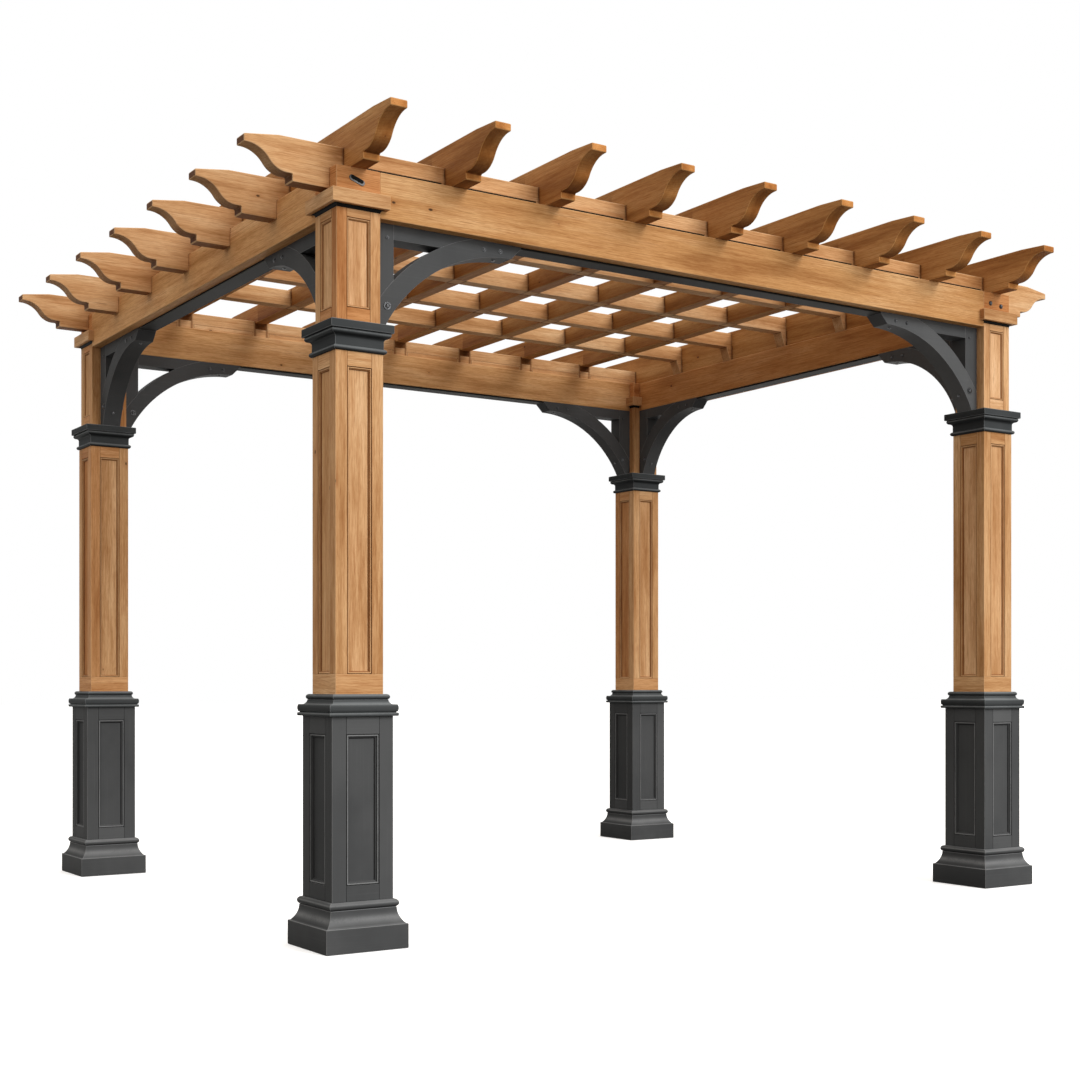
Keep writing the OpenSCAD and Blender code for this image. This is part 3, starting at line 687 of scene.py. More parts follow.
def cedar(name, pale, mid, deep, cut, ring, laps=None):
    """Honey-stained cedar: satin, a little glossier in the hard bands, rubbed paler on the arrises.

    cut tints the end grain. laps is for rafters, whose laps get painted shade: the axis along them, the
    number of laps, the height at which those over the beams end, and how much painted shade darkens the
    sheltered timber.
    """
    material, tree, shader, grain, parts, place, marks = new_finish(name)
    wood = use(tree, GRAIN_GROUP, Grain=grain, Tone=parts[0], End=parts[2], Pale=pale, Mid=mid, Deep=deep,
               Cut=cut, Ring=ring)
    edge = use(tree, WEAR_AND_SHADE_GROUP, Place=place, Edge=parts[1], Amount=0.6)
    cloud = spread(tree, marks["Cloud"], 0.62, 0.38, 0.0, 0.25)
    clouded = tint(tree, "MULTIPLY", cloud, wood["Color"], CLOUD)
    rubbed = tint(tree, "MIX", edge["Rubbed"], clouded, pale)
    grime_and_shade = edge["Grime"]
    if laps:
        way, count, top, shade = laps
        last = POST_PLACE[way]
        at = add(tree, "ShaderNodeSeparateXYZ", Vector=place).outputs
        corner = use(tree, LAP_SHADE_GROUP, Along=at[way], Across=at[1 - way], Height=at[2],
                     Pitch=2 * last / (count - 1), Half=RAFTER_T / 2 + LAP_GAP, Reach=LAP_SHADE_REACH, Last=last,
                     Edge=last - RAFTER_T, Rim=POST_PLACE[1 - way] - RAFTER_T, Top=top, Roof=ROOF_TOP,
                     Soffit=LATTICE_Z)
        # Painted shade in the laps and on the sheltered sides of the rafters
        grime_and_shade = calc(tree, "MAXIMUM", grime_and_shade, calc(tree, "MULTIPLY", corner["Grime"], 0.85))
        shelter_shade = calc(tree, "MULTIPLY", corner["Shelter"], shade)
        rubbed = tint(tree, "MULTIPLY", shelter_shade, rubbed, SHELTER_SHADE)
    give(tree, shader, Base_Color=tint(tree, "MULTIPLY", grime_and_shade, rubbed, JOINT_GRIME_AND_SHADE),
         Roughness=calc(tree, "MULTIPLY_ADD", wood["Sheen"], -0.35, 0.66), Specular_IOR_Level=0.07)
    bump(tree, shader, wood["Height"], 0.35, 0.5 * mm)
    return material


def charcoal(name, body_dark, body_light, rubbed_to):
    """Matt charcoal paint on timber: a faint grain shows, a dusting and painted light lie on it, and arrises
    are rubbed.

    The dusting and painted light are thickest where the surface looks up and to the light side, and what
    looks down or away from it gets painted shade.
    """
    material, tree, shader, grain, parts, place, marks = new_finish(name)
    brush = noise(tree, grain, (2.5, 170, 170), 3, 0.6)
    plain = tint(tree, "MIX", spread(tree, marks["Cloud"], 0.35, 0.65), body_dark, body_light)
    body = tint(tree, "MIX", calc(tree, "MULTIPLY", parts[0], 0.35, clamp=True), plain, rubbed_to)
    streaked = tint(tree, "MIX", spread(tree, brush, 0.5, 0.8, 0.0, 0.07), body, rubbed_to)
    # Painted shade on what looks away from the light side, then dust and painted light on what looks to it
    shaded_lee = tint(tree, "MULTIPLY", spread(tree, parts[2], 0.5, 0.1, 0.0, 0.8), streaked, PAINTED_LEE_SHADE)
    dust_and_light = calc(tree, "MULTIPLY", spread(tree, parts[2], 0.6, 1.0),
                spread(tree, marks["Cloud"], 0.3, 0.7, 0.4, 0.7))
    dusted_and_lit = tint(tree, "MIX", dust_and_light, shaded_lee, rubbed_to)
    edge = use(tree, WEAR_AND_SHADE_GROUP, Place=place, Edge=parts[1], Amount=0.85)
    rubbed = tint(tree, "MIX", edge["Rubbed"], dusted_and_lit, rubbed_to)
    give(tree, shader, Base_Color=tint(tree, "MULTIPLY", edge["Grime"], rubbed, PAINT_GRIME_AND_SHADE),
         Roughness=calc(tree, "MULTIPLY_ADD", marks["Cloud"], 0.16, 0.42), Specular_IOR_Level=0.015)
    bump(tree, shader, calc(tree, "MULTIPLY_ADD", marks["Speckle"], 0.25, brush), 0.2, 0.3 * mm)
    return material


def steel(name, colour, worn, metallic, rough):
    """Coated steel, rubbed to brighter metal in patches."""
    material, tree, shader, _, _, _, marks = new_finish(name)
    rubbed = spread(tree, marks["Speckle"], 0.5, 0.75, 0.0, 0.6)
    give(tree, shader, Base_Color=tint(tree, "MIX", rubbed, colour, worn), Metallic=metallic,
         Roughness=calc(tree, "MULTIPLY_ADD", marks["Cloud"], 0.2, rough))
    return material


POST_CEDAR = cedar("cedar_posts", (0.76, 0.500, 0.272), (0.620, 0.362, 0.171), (0.450, 0.228, 0.090),
                   (1.0, 0.92, 0.83), 5.5 * mm)
BEAM_CEDAR = cedar("cedar_beams", (0.725, 0.445, 0.214), (0.600, 0.326, 0.129), (0.430, 0.207, 0.071),
                   (1.0, 0.92, 0.83), 7 * mm)
# The lower rafters show faces that look to the light and the upper ones faces that look away, so the lower
# cedar is a paler lit copy and the upper a darker shaded copy: painted light and shade. The very dark tint
# of the lower end grain paints shade on the steps and tips, and the upper one, paler than the face, paints
# light
LIT_LOWER_CEDAR = cedar("cedar_lower_rafters_lit", (0.82, 0.555, 0.314), (0.690, 0.405, 0.194),
                    (0.485, 0.248, 0.100), (0.13, 0.07, 0.034), 6.5 * mm, (0, UPPER_COUNT, ROOF_TOP, 0.12))
SHADED_UPPER_CEDAR = cedar("cedar_upper_rafters_shaded", (0.59, 0.334, 0.134), (0.460, 0.225, 0.075),
                    (0.310, 0.133, 0.037), (1.2, 1.05, 0.88), 6.5 * mm, (1, LOWER_COUNT, LOWER_TOP, 0.8))
PAINT = charcoal("charcoal_paint", (0.064, 0.066, 0.068), (0.079, 0.081, 0.083), (0.235, 0.240, 0.245))
MOULD_PAINT = charcoal("charcoal_mouldings", (0.047, 0.051, 0.053), (0.058, 0.062, 0.064),
                       (0.215, 0.228, 0.235))
# A darker copy of the charcoal paint for pieces that stand in shade: painted shade
SHADE_PAINT = charcoal("charcoal_paint_in_shade", (0.017, 0.016, 0.015), (0.026, 0.025, 0.023),
                       (0.07, 0.067, 0.062))
BLACK_STEEL = steel("black_steel", (0.040, 0.041, 0.043), (0.26, 0.262, 0.266), 0.8, 0.26)
BRIGHT_STEEL = steel("bright_steel", (0.065, 0.063, 0.061), (0.24, 0.23, 0.22), 1.0, 0.30)


# Posts

def post_axis(signs):
    """Foot of a post's axis."""
    return np.array([signs[0] * POST_PLACE[0], signs[1] * POST_PLACE[1], 0.0])


def square_ring(profile, axis, ease=PAINT_EASE, tone=0.0, dust_and_shading=1.0, bands=()):
    """Profile of reach from the post's axis and height, carried round the four sides.

    Each band (c, w, a) gets a painted highlight, or below 0 painted shade, by a bell curve
    a·exp(−((z − c) / w)²) over the height z.
    """
    bells = (a * np.exp(-((profile[:, 1] - c) / w) ** 2) for c, w, a in bands)
    painted_shading = sum(bells, np.zeros(len(profile)))
    return carried(profile, frame_stations(axis, 0, 0, X, Y), ease, tone, dust_and_shading=dust_and_shading, painted_shading=painted_shading)


def base_profile():
    """Ground block with a cove and a bead, round the shaft."""
    hole = SHAFT_HALF + FIT
    cove_top = BLOCK_H + BASE_COVE_H
    return np.concatenate([
        [(hole, 0), (BLOCK_HALF, 0), (BLOCK_HALF, BLOCK_H)],
        upright_arc((DIE_HALF + BASE_COVE_OUT, BLOCK_H), (DIE_HALF + BASE_COVE_TOP_OUT, cove_top), 12),
        bead(DIE_HALF + BASE_BEAD_OUT, cove_top, BASE_HI[2])[1:],
        [(hole, BASE_HI[2])],
    ])


def plinth_cap_profile():
    """Thin bead, groove, broad bead, cove and top bead."""
    hole = SHAFT_HALF + FIT
    groove = DIE_HI[2] + LOW_BEAD_H
    broad = groove + GROOVE_H
    cove = broad + BROAD_H
    top = cove + CAP_COVE_H
    cove_foot = DIE_HALF + BROAD_OUT - FLAT_BULGE * BROAD_H
    return np.concatenate([
        [(hole, DIE_HI[2])],
        bead(DIE_HALF + LOW_BEAD_OUT, DIE_HI[2], groove, FLAT_BULGE),
        [(DIE_HALF + GROOVE_OUT, groove), (DIE_HALF + GROOVE_OUT, broad)],
        bead(DIE_HALF + BROAD_OUT, broad, cove, FLAT_BULGE),
        upright_arc((cove_foot, cove), (SHAFT_HALF + CAP_COVE_TOP_OUT, top))[1:],
        bead(SHAFT_HALF + TOP_BEAD_OUT, top, PLINTH_TOP)[1:],
        [(hole, PLINTH_TOP)],
    ])


def collar_profile():
    """Bead, plain band, a hollow, a round that turns back in under the top slab, and that slab."""
    hole = NECK_HALF + FIT
    low, high = COLLAR_LO[2], COLLAR_HI[2]
    frieze = low + COLLAR_BEAD_H
    hollow = frieze + FRIEZE_H
    out = NECK_HALF + FRIEZE_OUT
    slab_low = hollow + 2 * OGEE_H
    widest = np.array([out + 2 * OGEE_STEP, slab_low - COLLAR_QUIRK_H])
    bend = (np.array([out, hollow]) + widest) / 2
    return np.concatenate([
        [(hole, low)],
        bead(NECK_HALF + COLLAR_BEAD_OUT, low, frieze),
        [(out, frieze)],
        upright_arc(bend, (out, hollow))[::-1],
        upright_arc(bend, widest)[1:],
        upright_arc((widest[0] - COLLAR_QUIRK, slab_low), widest)[-2::-1],
        [(SLAB_HALF, slab_low), (SLAB_HALF, high), (hole, high)],
    ])


def panel_mould(recess, width):
    """Profile of the moulding round a panel: a bead below the face, a quirk, a quarter-round to the panel.

    The bead is half a sine wave, and the quarter-round a quarter of an ellipse. Also gives the painted light
    and shade of the points: a painted highlight on the bead's crest, and painted shade in the quirk and
    along the quarter-round, darkest at its foot.
    """
    bead_w = PANEL_BEAD * width
    crest, root = recess - PANEL_CREST, recess - PANEL_ROOT
    foot = 0.5 * recess
    turn = np.linspace(0, np.pi, 7)
    ovolo = np.linspace(QUARTER, 0, 7)
    left = PANEL_QUIRK + bead_w
    profile = np.concatenate([
        [(PANEL_QUIRK, 0)],
        np.stack([PANEL_QUIRK + bead_w * (1 - np.cos(turn)) / 2, root + (crest - root) * np.sin(turn)], 1),
        np.stack([left + (width - left) * np.cos(ovolo), foot * np.sin(ovolo)], 1),
    ])
    painted_shading = np.concatenate([[-1], 1.2 * np.sin(turn) - 0.2, -0.3 - 0.7 * np.cos(ovolo) ** 2])
    return profile[::-1], painted_shading[::-1]


def panelled_casing(axis, half, wall, span, opening, panel, sides, tones, foot_ring=False, dust_and_shading=0.0,
                    shift=0.0):
    """Casing of boards: an angle at each corner, and on each side two rails, a panel and its moulding.

    span is the height of the casing's foot and head, opening that of the panels' foot and head, and sides
    are the quarter turns of the panelled sides. With a foot ring the angles start at the foot of the panels,
    and one mitred board goes round below them. shift is added to the tones of the boards.
    """
    low, high = span
    stile, recess, mould = panel
    boards = []
    joint = (-1.0, -1.0)
    angle = np.array([(half - stile, half), (half - stile, half - wall), (half - wall, half - wall),
                      (half - wall, half - stile), (half, half - stile), (half, half)])
    arris = np.array([-1, -1, -1, -1, -1, 1])
    foot = opening[0] if foot_ring else low
    width = half - stile
    if foot_ring:
        ring = rectangle((half - wall, low), (half, foot))
        boards.append(square_ring(ring, axis, BOARD_EASE, FOOT_RING_TONE + shift, dust_and_shading=0.0))

    def tone(part, k, usual, scatter=BOARD_SCATTER):
        """A board's own tone, or one drawn about the usual tone."""
        return tones.get((part, k), rng.normal(usual, scatter) + shift)

    for k in range(4):
        c, s = round(math.cos(QUARTER * k)), round(math.sin(QUARTER * k))
        u, v = np.array([c, s, 0.0]), np.array([-s, c, 0.0])
        boards.append(slab(angle, high - foot, BOARD_EASE, np.array([u, v, Z]), axis + (foot + high) / 2 * Z,
                           2, tone("stile", k, STILE_TONE), (arris, -1.0), dust_and_shading))
        # The side that looks along -v, between this angle and the next
        front = np.array([u, Z, -v])
        middle = axis - (half - wall / 2) * v
        if k not in sides:
            boards.append(slab(rectangle((-width, foot), (width, high)), wall, BOARD_EASE, front, middle, 1,
                               tone("side", k, STILE_TONE), joint, dust_and_shading))
            continue
        rails = [("head", opening[1], high)] + ([] if foot_ring else [("foot", low, opening[0])])
        for part, bottom, top in rails:
            boards.append(slab(rectangle((-width, bottom), (width, top)), wall, BOARD_EASE, front, middle, 0,
                               tone(part, k, RAIL_TONE), joint, dust_and_shading))
        boards.append(slab(rectangle((-width, opening[0]), (width, opening[1])), PANEL_T, BOARD_EASE, front,
                           axis - (half - recess - PANEL_T / 2) * v, 1,
                           tone("panel", k, PANEL_TONE, PANEL_SCATTER), joint, dust_and_shading))
        centre = axis - (half - recess) * v + (opening[0] + opening[1]) / 2 * Z
        start, lean, _, way, wear = frame_stations(centre, width, (opening[1] - opening[0]) / 2, u, Z, True,
                                                   PANEL_EASE, 1)
        profile, painted_shading = panel_mould(recess, mould)
        boards.append(carried(profile, (start, lean, -v, way, 0 * wear), PANEL_EASE, MOULD_TONE, wear=-1.0,
                              dust_and_shading=dust_and_shading, painted_shading=painted_shading))
    return boards


def cap_stations(signs, spans):
    """Stations along the sides of a neck. spans gives the first and last place, and the corners between."""
    first, turns, last = spans
    found = [first]
    for diagonal, angle, turn in turns:
        diagonal = np.array([*diagonal, 0.0])
        found.append(corner_stations(NECK_HALF * diagonal, diagonal, angle, turn, X, Y))
    found.append(last)
    start, lean, way, wear = (np.concatenate(values) for values in zip(*found))
    inner = np.array([-signs[0], -signs[1], 1.0])
    return post_axis(signs) + start * inner, lean * inner, Z, way * inner, wear


def cap_end(x, y, lean, way):
    """One end station of a post cap, in the frame of a post whose inner sides face +X and +Y."""
    return np.array([[x, y, 0.0]]), np.array([lean]), np.array([way]), np.zeros(1)


def cap_paths():
    """Outer path of a post cap, from beam to beam round three corners, and the inner one round one."""
    face = NECK_HALF + FIT
    inner_face = BEAM_T - NECK_HALF + FIT
    outer = (cap_end(NECK_HALF, -face, X, Y),
             [((1, -1), 0.0, -QUARTER), ((-1, -1), -QUARTER, -QUARTER), ((-1, 1), -2 * QUARTER, -QUARTER)],
             cap_end(-face, NECK_HALF, Y, X))
    inner = (cap_end(NECK_HALF, inner_face, X, Y), [((1, 1), 0.0, QUARTER)],
             cap_end(inner_face, NECK_HALF, Y, X))
    return outer, inner


def build_plinth(name, axis):
    """Base, die and cap of a plinth."""
    cove_top = BLOCK_H + BASE_COVE_H
    base = square_ring(base_profile(), axis, bands=[
        (BLOCK_H, COVE_FOOT_W, -COVE_FOOT_SHADE),
        (BLOCK_H + COVE_CREST * BASE_COVE_H, COVE_CREST_W, CREST_HIGHLIGHT),
        ((cove_top + 2 * BASE_HI[2]) / 3, CREST_W, CREST_HIGHLIGHT),
    ])
    piece(f"{name}_painted_base", [base], PAINT, "charcoal_paint", f"{name}_plinth_base")
    opening = (DIE_LO[2] + DIE_BOTTOM_RAIL, DIE_HI[2] - DIE_TOP_RAIL)
    die = panelled_casing(axis, DIE_HALF, DIE_HALF - SHAFT_HALF - FIT, (DIE_LO[2], DIE_HI[2]), opening,
                          DIE_PANEL, range(4), {}, dust_and_shading=DIE_DUST_AND_SHADING[name])
    piece(f"{name}_painted_die", die, PAINT, "charcoal_paint", f"{name}_plinth_die")
    broad_top = DIE_HI[2] + LOW_BEAD_H + GROOVE_H + BROAD_H
    crests = (DIE_HI[2] + LOW_BEAD_CREST * LOW_BEAD_H, broad_top, PLINTH_TOP - TOP_BEAD_CREST)
    cap = square_ring(plinth_cap_profile(), axis, bands=[(z, CREST_W, CREST_HIGHLIGHT) for z in crests])
    piece(f"{name}_painted_cap", [cap], MOULD_PAINT, "charcoal_paint", f"{name}_plinth_cap")


def build_shaft(name, axis):
    """Shaft and collar of a post."""
    opening = (PLINTH_TOP + SHAFT_BOTTOM_RAIL, SHAFT_HI[2] - SHAFT_TOP_RAIL)
    shaft = panelled_casing(axis, SHAFT_HALF, SHAFT_HALF - CORE_HALF - FIT, (SHAFT_LO[2], SHAFT_HI[2]),
                            opening, SHAFT_PANEL, range(4), {("panel", 3): LEFT_PANEL_SHADING_TONES[name]}, True,
                            shift=POST_TONES[name])
    piece(f"{name}_cedar_shaft", shaft, POST_CEDAR, "cedar_posts", f"{name}_shaft")
    band_top = COLLAR_LO[2] + COLLAR_BEAD_H + FRIEZE_H
    crests = (COLLAR_LO[2] + COLLAR_BEAD_CREST * COLLAR_BEAD_H, band_top + 2 * OGEE_H - COLLAR_QUIRK_H)
    collar = square_ring(collar_profile(), axis, bands=[(z, CREST_W, CREST_HIGHLIGHT) for z in crests])
    piece(f"{name}_painted_collar", [collar], MOULD_PAINT, "charcoal_paint", f"{name}_collar")


def build_neck(name, signs, axis):
    """Neck of a post with its head between the beams, and the cap round it."""
    cap_middle = (POST_CAP_Z + CAP_HI[2]) / 2
    opening = (COLLAR_HI[2] + NECK_BOTTOM_RAIL, CAP_LO[2] - NECK_TOP_RAIL)
    outer_sides = [0 if signs[1] < 0 else 2, 3 if signs[0] < 0 else 1]
    tones = dict(NEAR_NECK_TONES) if name == "front_left" else {}
    for k in range(4):
        tones["panel", k] = POST_TONES[name] + (NECK_LEFT_PANEL_TONE if k == 3 else NECK_PANEL_TONE)
    neck = panelled_casing(axis, NECK_HALF, NECK_HALF - CORE_HALF - FIT, (NECK_LO[2], cap_middle), opening,
                           NECK_PANEL, outer_sides, tones, shift=POST_TONES[name])
    head = rectangle((CORE_HALF + FIT, cap_middle), (NECK_HALF, BEAM_TOP))
    neck.append(square_ring(head, axis, BOARD_EASE, HEAD_TONE, dust_and_shading=0.0))
    piece(f"{name}_cedar_neck", neck, POST_CEDAR, "cedar_posts", f"{name}_neck")
    band = rectangle((FIT, POST_CAP_Z), (POST_CAP_HALF - NECK_HALF, CAP_HI[2]))
    mould = np.concatenate([
        [(FIT, POST_CAP_Z), (FIT, CAP_LO[2])],
        upright_arc((POST_CAP_MOULD_OUT, POST_CAP_Z), (2 * FIT, CAP_LO[2]))[::-1],
    ])
    paths = [cap_stations(signs, path) for path in cap_paths()]
    bands = [carried(band, path, POST_CAP_EASE, CAP_BAND_TONE, ring=False) for path in paths]
    moulds = [carried(mould, path, PANEL_EASE, ring=False) for path in paths]
    piece(f"{name}_cedar_cap", bands, POST_CEDAR, "cedar_posts", f"{name}_post_cap")
    # The moulding under the cap is in the darker copy of the paint: painted shade
    piece(f"{name}_painted_cap_mould", moulds, SHADE_PAINT, "charcoal_paint", f"{name}_post_cap")


# Brackets

def bracket_arc(reach):
    """Circle of the underside of a bracket's arm: the x and z of its centre and its radius."""
    x = reach - (BRACKET_NOSE - STRIP_T)
    drop = BRACKET_H - BRACKET_NOSE
    r = (drop * drop + (x - BRACKET_FOOT) ** 2) / (2 * drop)
    return x, -BRACKET_NOSE - r, r


def bracket_outlines(reach):
    """Leg, rail and curved arm of a bracket. x runs from the post, z is 0 under the beam.

    A point of either curve at the angle a from the top of its circle lies at x − r·sin a, z + r·cos a.
    """
    x, z, r = bracket_arc(reach)
    upper = r + BRACKET_ARM

    def curve(radius, start, end, steps):
        a = np.linspace(start, end, steps)
        return np.stack([x - radius * np.sin(a), z + radius * np.cos(a)], 1)

    at_post, at_leg = math.asin(x / upper), math.asin((x - BRACKET_LEG) / upper)
    at_rail, at_beam = math.acos((-z - BRACKET_RAIL) / upper), math.acos(-z / upper)
    foot = math.asin((x - BRACKET_FOOT) / r)
    arm = np.concatenate([
        [(0, -BRACKET_H)], curve(r, foot, 0, 28),
        [(reach, -STRIP_T), (reach, 0)], curve(upper, at_beam, at_post, 28),
    ])
    leg = np.concatenate([curve(upper, at_post, at_leg, 6), [(BRACKET_LEG, 0), (0, 0)]])
    rail = np.concatenate([
        [(BRACKET_LEG, -BRACKET_RAIL)], curve(upper, at_rail, at_beam, 10), [(BRACKET_LEG, 0)],
    ])
    return leg, rail, arm


def bolt(centre, axis, head_r, washer_r):
    """Domed bolt head on a washer: an arc of an ellipse, and a short cylinder with a bevel, turned."""
    washer_t, head_h = BOLT_WASHER_T, 0.7 * head_r
    a = np.linspace(0, 1.35, 5)
    dome = np.stack([head_r * np.cos(a), washer_t + head_h * (0.35 + 0.65 * np.sin(a))], 1)
    seat = [(washer_r, -BOLT_SUNK), (washer_r, 0.7 * washer_t), (0.94 * washer_r, washer_t),
            (head_r, washer_t)]
    return turned(np.concatenate([seat, dome]), centre, axis)


def build_brackets(name, signs):
    """Both brackets of a post, with bolts through them and into the post and beams."""
    axis = post_axis(signs)
    box = np.array(corners(f"{name}_brackets"))
    reaches = np.abs(box - axis).max(0)[:2] - NECK_HALF
    timbers, bolts = [], []
    for way, across, sign, reach in ((X, Y, -signs[0], reaches[0]), (Y, X, -signs[1], reaches[1])):
        u = way * sign
        axes = np.array([u, Z, across])
        origin = axis + u * NECK_HALF + BEAM_Z * Z
        leg, rail, arm = bracket_outlines(reach)
        for outline, along in ((leg, 1), (rail, 0), (arm, 0)):
            # The arm of the front right bracket gets painted light: paler paint, and paler where it looks
            # away from the light side
            lit_arm = outline is arm and name == "front_right"
            tone, dust_and_shading = (LIT_ARM_TONE, LIT_SOFFIT) if lit_arm else (0.0, BRACKET_DUST_AND_SHADING)
            timbers.append(slab(outline, BRACKET_T, BRACKET_EASE, axes, origin, along, tone, dust_and_shading=dust_and_shading))
        for face in (-1, 1):
            for place, drop, head_r, washer_r in BRACKET_BOLTS:
                x = place if place > 0 else reach + place
                centre = origin + x * u - drop * Z + face * BRACKET_T / 2 * across
                bolts.append(bolt(centre, face * across, head_r, washer_r))
        x, z, r = bracket_arc(reach)
        for a in (math.asin((x - BRACKET_FOOT) / r) - ARM_BOLT_FOOT, ARM_BOLT_TOP):
            normal = math.sin(a) * u - math.cos(a) * Z
            bolts.append(bolt(origin + x * u + z * Z - r * normal, normal, *ARM_BOLT))
    piece(f"{name}_painted_brackets", timbers, PAINT, "charcoal_paint", f"{name}_brackets")
    piece(f"{name}_bracket_bolts", bolts, BLACK_STEEL, "black_steel")


def oblong(half_length, half_width, steps=8):
    """Outline of a plate with round ends: half a circle, and the same turned by half a turn."""
    a = np.linspace(-QUARTER, QUARTER, steps)
    end = np.stack([half_length - half_width + half_width * np.cos(a), half_width * np.sin(a)], 1)
    return np.concatenate([end, -end])


def build_head_fasteners():
    """A slotted plate on the head of the near post, and two bolts on the heads of the others."""
    for name, signs in POSTS.items():
        out = signs[1] * Y
        face = post_axis(signs) + signs[1] * NECK_HALF * Y
        if name == "front_left":
            cosine, sine = math.cos(PLATE_TILT), math.sin(PLATE_TILT)
            axes = np.array([cosine * X + sine * Z, cosine * Z - sine * X, out])
            centre = face + PLATE_X * X + PLATE_Z * Z
            plate = slab(oblong(PLATE_L / 2, PLATE_W / 2), PLATE_T, PLATE_EASE, axes, centre)
            # The slot and its screw heads are in the darker copy of the paint: painted shade in the plate's
            # recess
            slot = slab(oblong(SLOT_L * PLATE_L, SLOT_W * PLATE_W), PLATE_T, SLOT_EASE, axes,
                        centre + SLOT_PROUD * out + SLOT_RISE * PLATE_W * Z)
            heads = [bolt(centre + x * axes[0] + PLATE_T / 2 * out, out, *PLATE_BOLT) for x in PLATE_BOLTS]
            piece("head_plate", [plate], BRIGHT_STEEL, "black_steel")
            piece("head_plate_slot", [slot] + heads, SHADE_PAINT, "black_steel")
        else:
            heads = [bolt(face + x * X + z * Z, out, *HEAD_BOLT) for x, z in HEAD_BOLTS]
            piece(f"{name}_head_bolts", heads, BLACK_STEEL, "black_steel")


# Beams and rafters

def build_packing():
    """Packing on the front and back beams, in the reliefs under the rafters: cedar inside, and outside a
    dark strip in the darker copy of the paint that paints the shadow in the gap.
    """
    half = (UPPER_PLACES[1] - UPPER_PLACES[0] - RAFTER_T) / 2 - EDGE_BEARING - LAP_GAP
    outline = rectangle((-half, BEAM_TOP + FIT), (half, BEAM_TOP + EDGE_RELIEF - FIT))
    depth = RAFTER_T / 2 - PACKING_SET_BACK
    for side, sign in (("front", -1), ("back", 1)):
        for layer, offset, finish, slot in (("shadow_gap_strips", depth / 2, SHADE_PAINT, "charcoal_paint"),
                                            ("packers", -depth / 2, LIT_LOWER_CEDAR, "cedar_rafters")):
            middle = sign * (POST_PLACE[1] + offset) * Y
            strips = [slab(outline, depth - FIT, BOARD_EASE, np.array([X, Z, Y]), x * X + middle)
                      for x in (UPPER_PLACES[:-1] + UPPER_PLACES[1:]) / 2]
            piece(f"{side}_{layer}", strips, finish, slot)


def build_beams():
    """Perimeter beams, and the strips under them in the darker copy of the paint: painted shade."""
    parts = (("beam", "cedar_beam", BEAM_CEDAR, "cedar_beams", BEAM_EASE),
             ("soffit_strip", "painted_strip", SHADE_PAINT, "charcoal_paint", PAINT_EASE))
    for side in ("front", "back", "left", "right"):
        way = 0 if side in ("front", "back") else 1
        for node, name, finish, slot, ease in parts:
            low, high = corners(f"{side}_{node}")
            outline = rectangle((low[way], low[2]), (high[way], high[2]))
            axes = np.eye(3)[[way, 2, 1 - way]]
            middle = (low + high)[1 - way] / 2 * axes[2]
            tone = rng.normal(BEAM_TONES[side], TIMBER_SCATTER)
            board = slab(outline, (high - low)[1 - way], ease, axes, middle, 0, tone)
            piece(f"{side}_{name}", [board], finish, slot, f"{side}_{node}")


def tail(depth, length, tip_drop):
    """Shaped left end of a rafter, from the top down, with 0 at its top corner.

    A slope leads to the blunt tip. A hollow arc leaves the tip level, and a belly arc of the same slope,
    which is twice the slope of the chord, takes it on to a flat and a step.
    """
    tip_bottom, belly = tip_drop + TIP_FACE, depth - TAIL_STEP
    run = length - TIP_FLAT - BELLY_FLAT
    slope = 2 * math.atan((belly - tip_bottom) / run)
    a = np.linspace(0, slope, 14)
    hollow_r, belly_r = HOLLOW_SHARE * run / math.sin(slope), (1 - HOLLOW_SHARE) * run / math.sin(slope)
    hollow = np.stack([TIP_FLAT + hollow_r * np.sin(a), -tip_bottom - hollow_r * (1 - np.cos(a))], 1)
    belly_x = length - BELLY_FLAT - belly_r * np.sin(a)
    round_belly = np.stack([belly_x, -belly + belly_r * (1 - np.cos(a))], 1)
    return np.concatenate([
        [(TIP_SLOPE, 0), (0, -tip_drop), (0, -tip_bottom)], hollow, round_belly[-2::-1],
        [(length, -belly), (length, -depth)],
    ])


def notches(places, floor, before, after, width=LAP):
    """Four corners of each notch, from left to right: from one edge to the floor and on to the next edge."""
    x = places[:, None] + np.array([-0.5, -0.5, 0.5, 0.5]) * width
    return np.stack([x, np.broadcast_to([before, floor, floor, after], x.shape)], -1).reshape(-1, 2)


def mirrored(points):
    """The same points on the other side, in turn from left to right."""
    return np.asarray(points)[::-1] * (-1, 1)


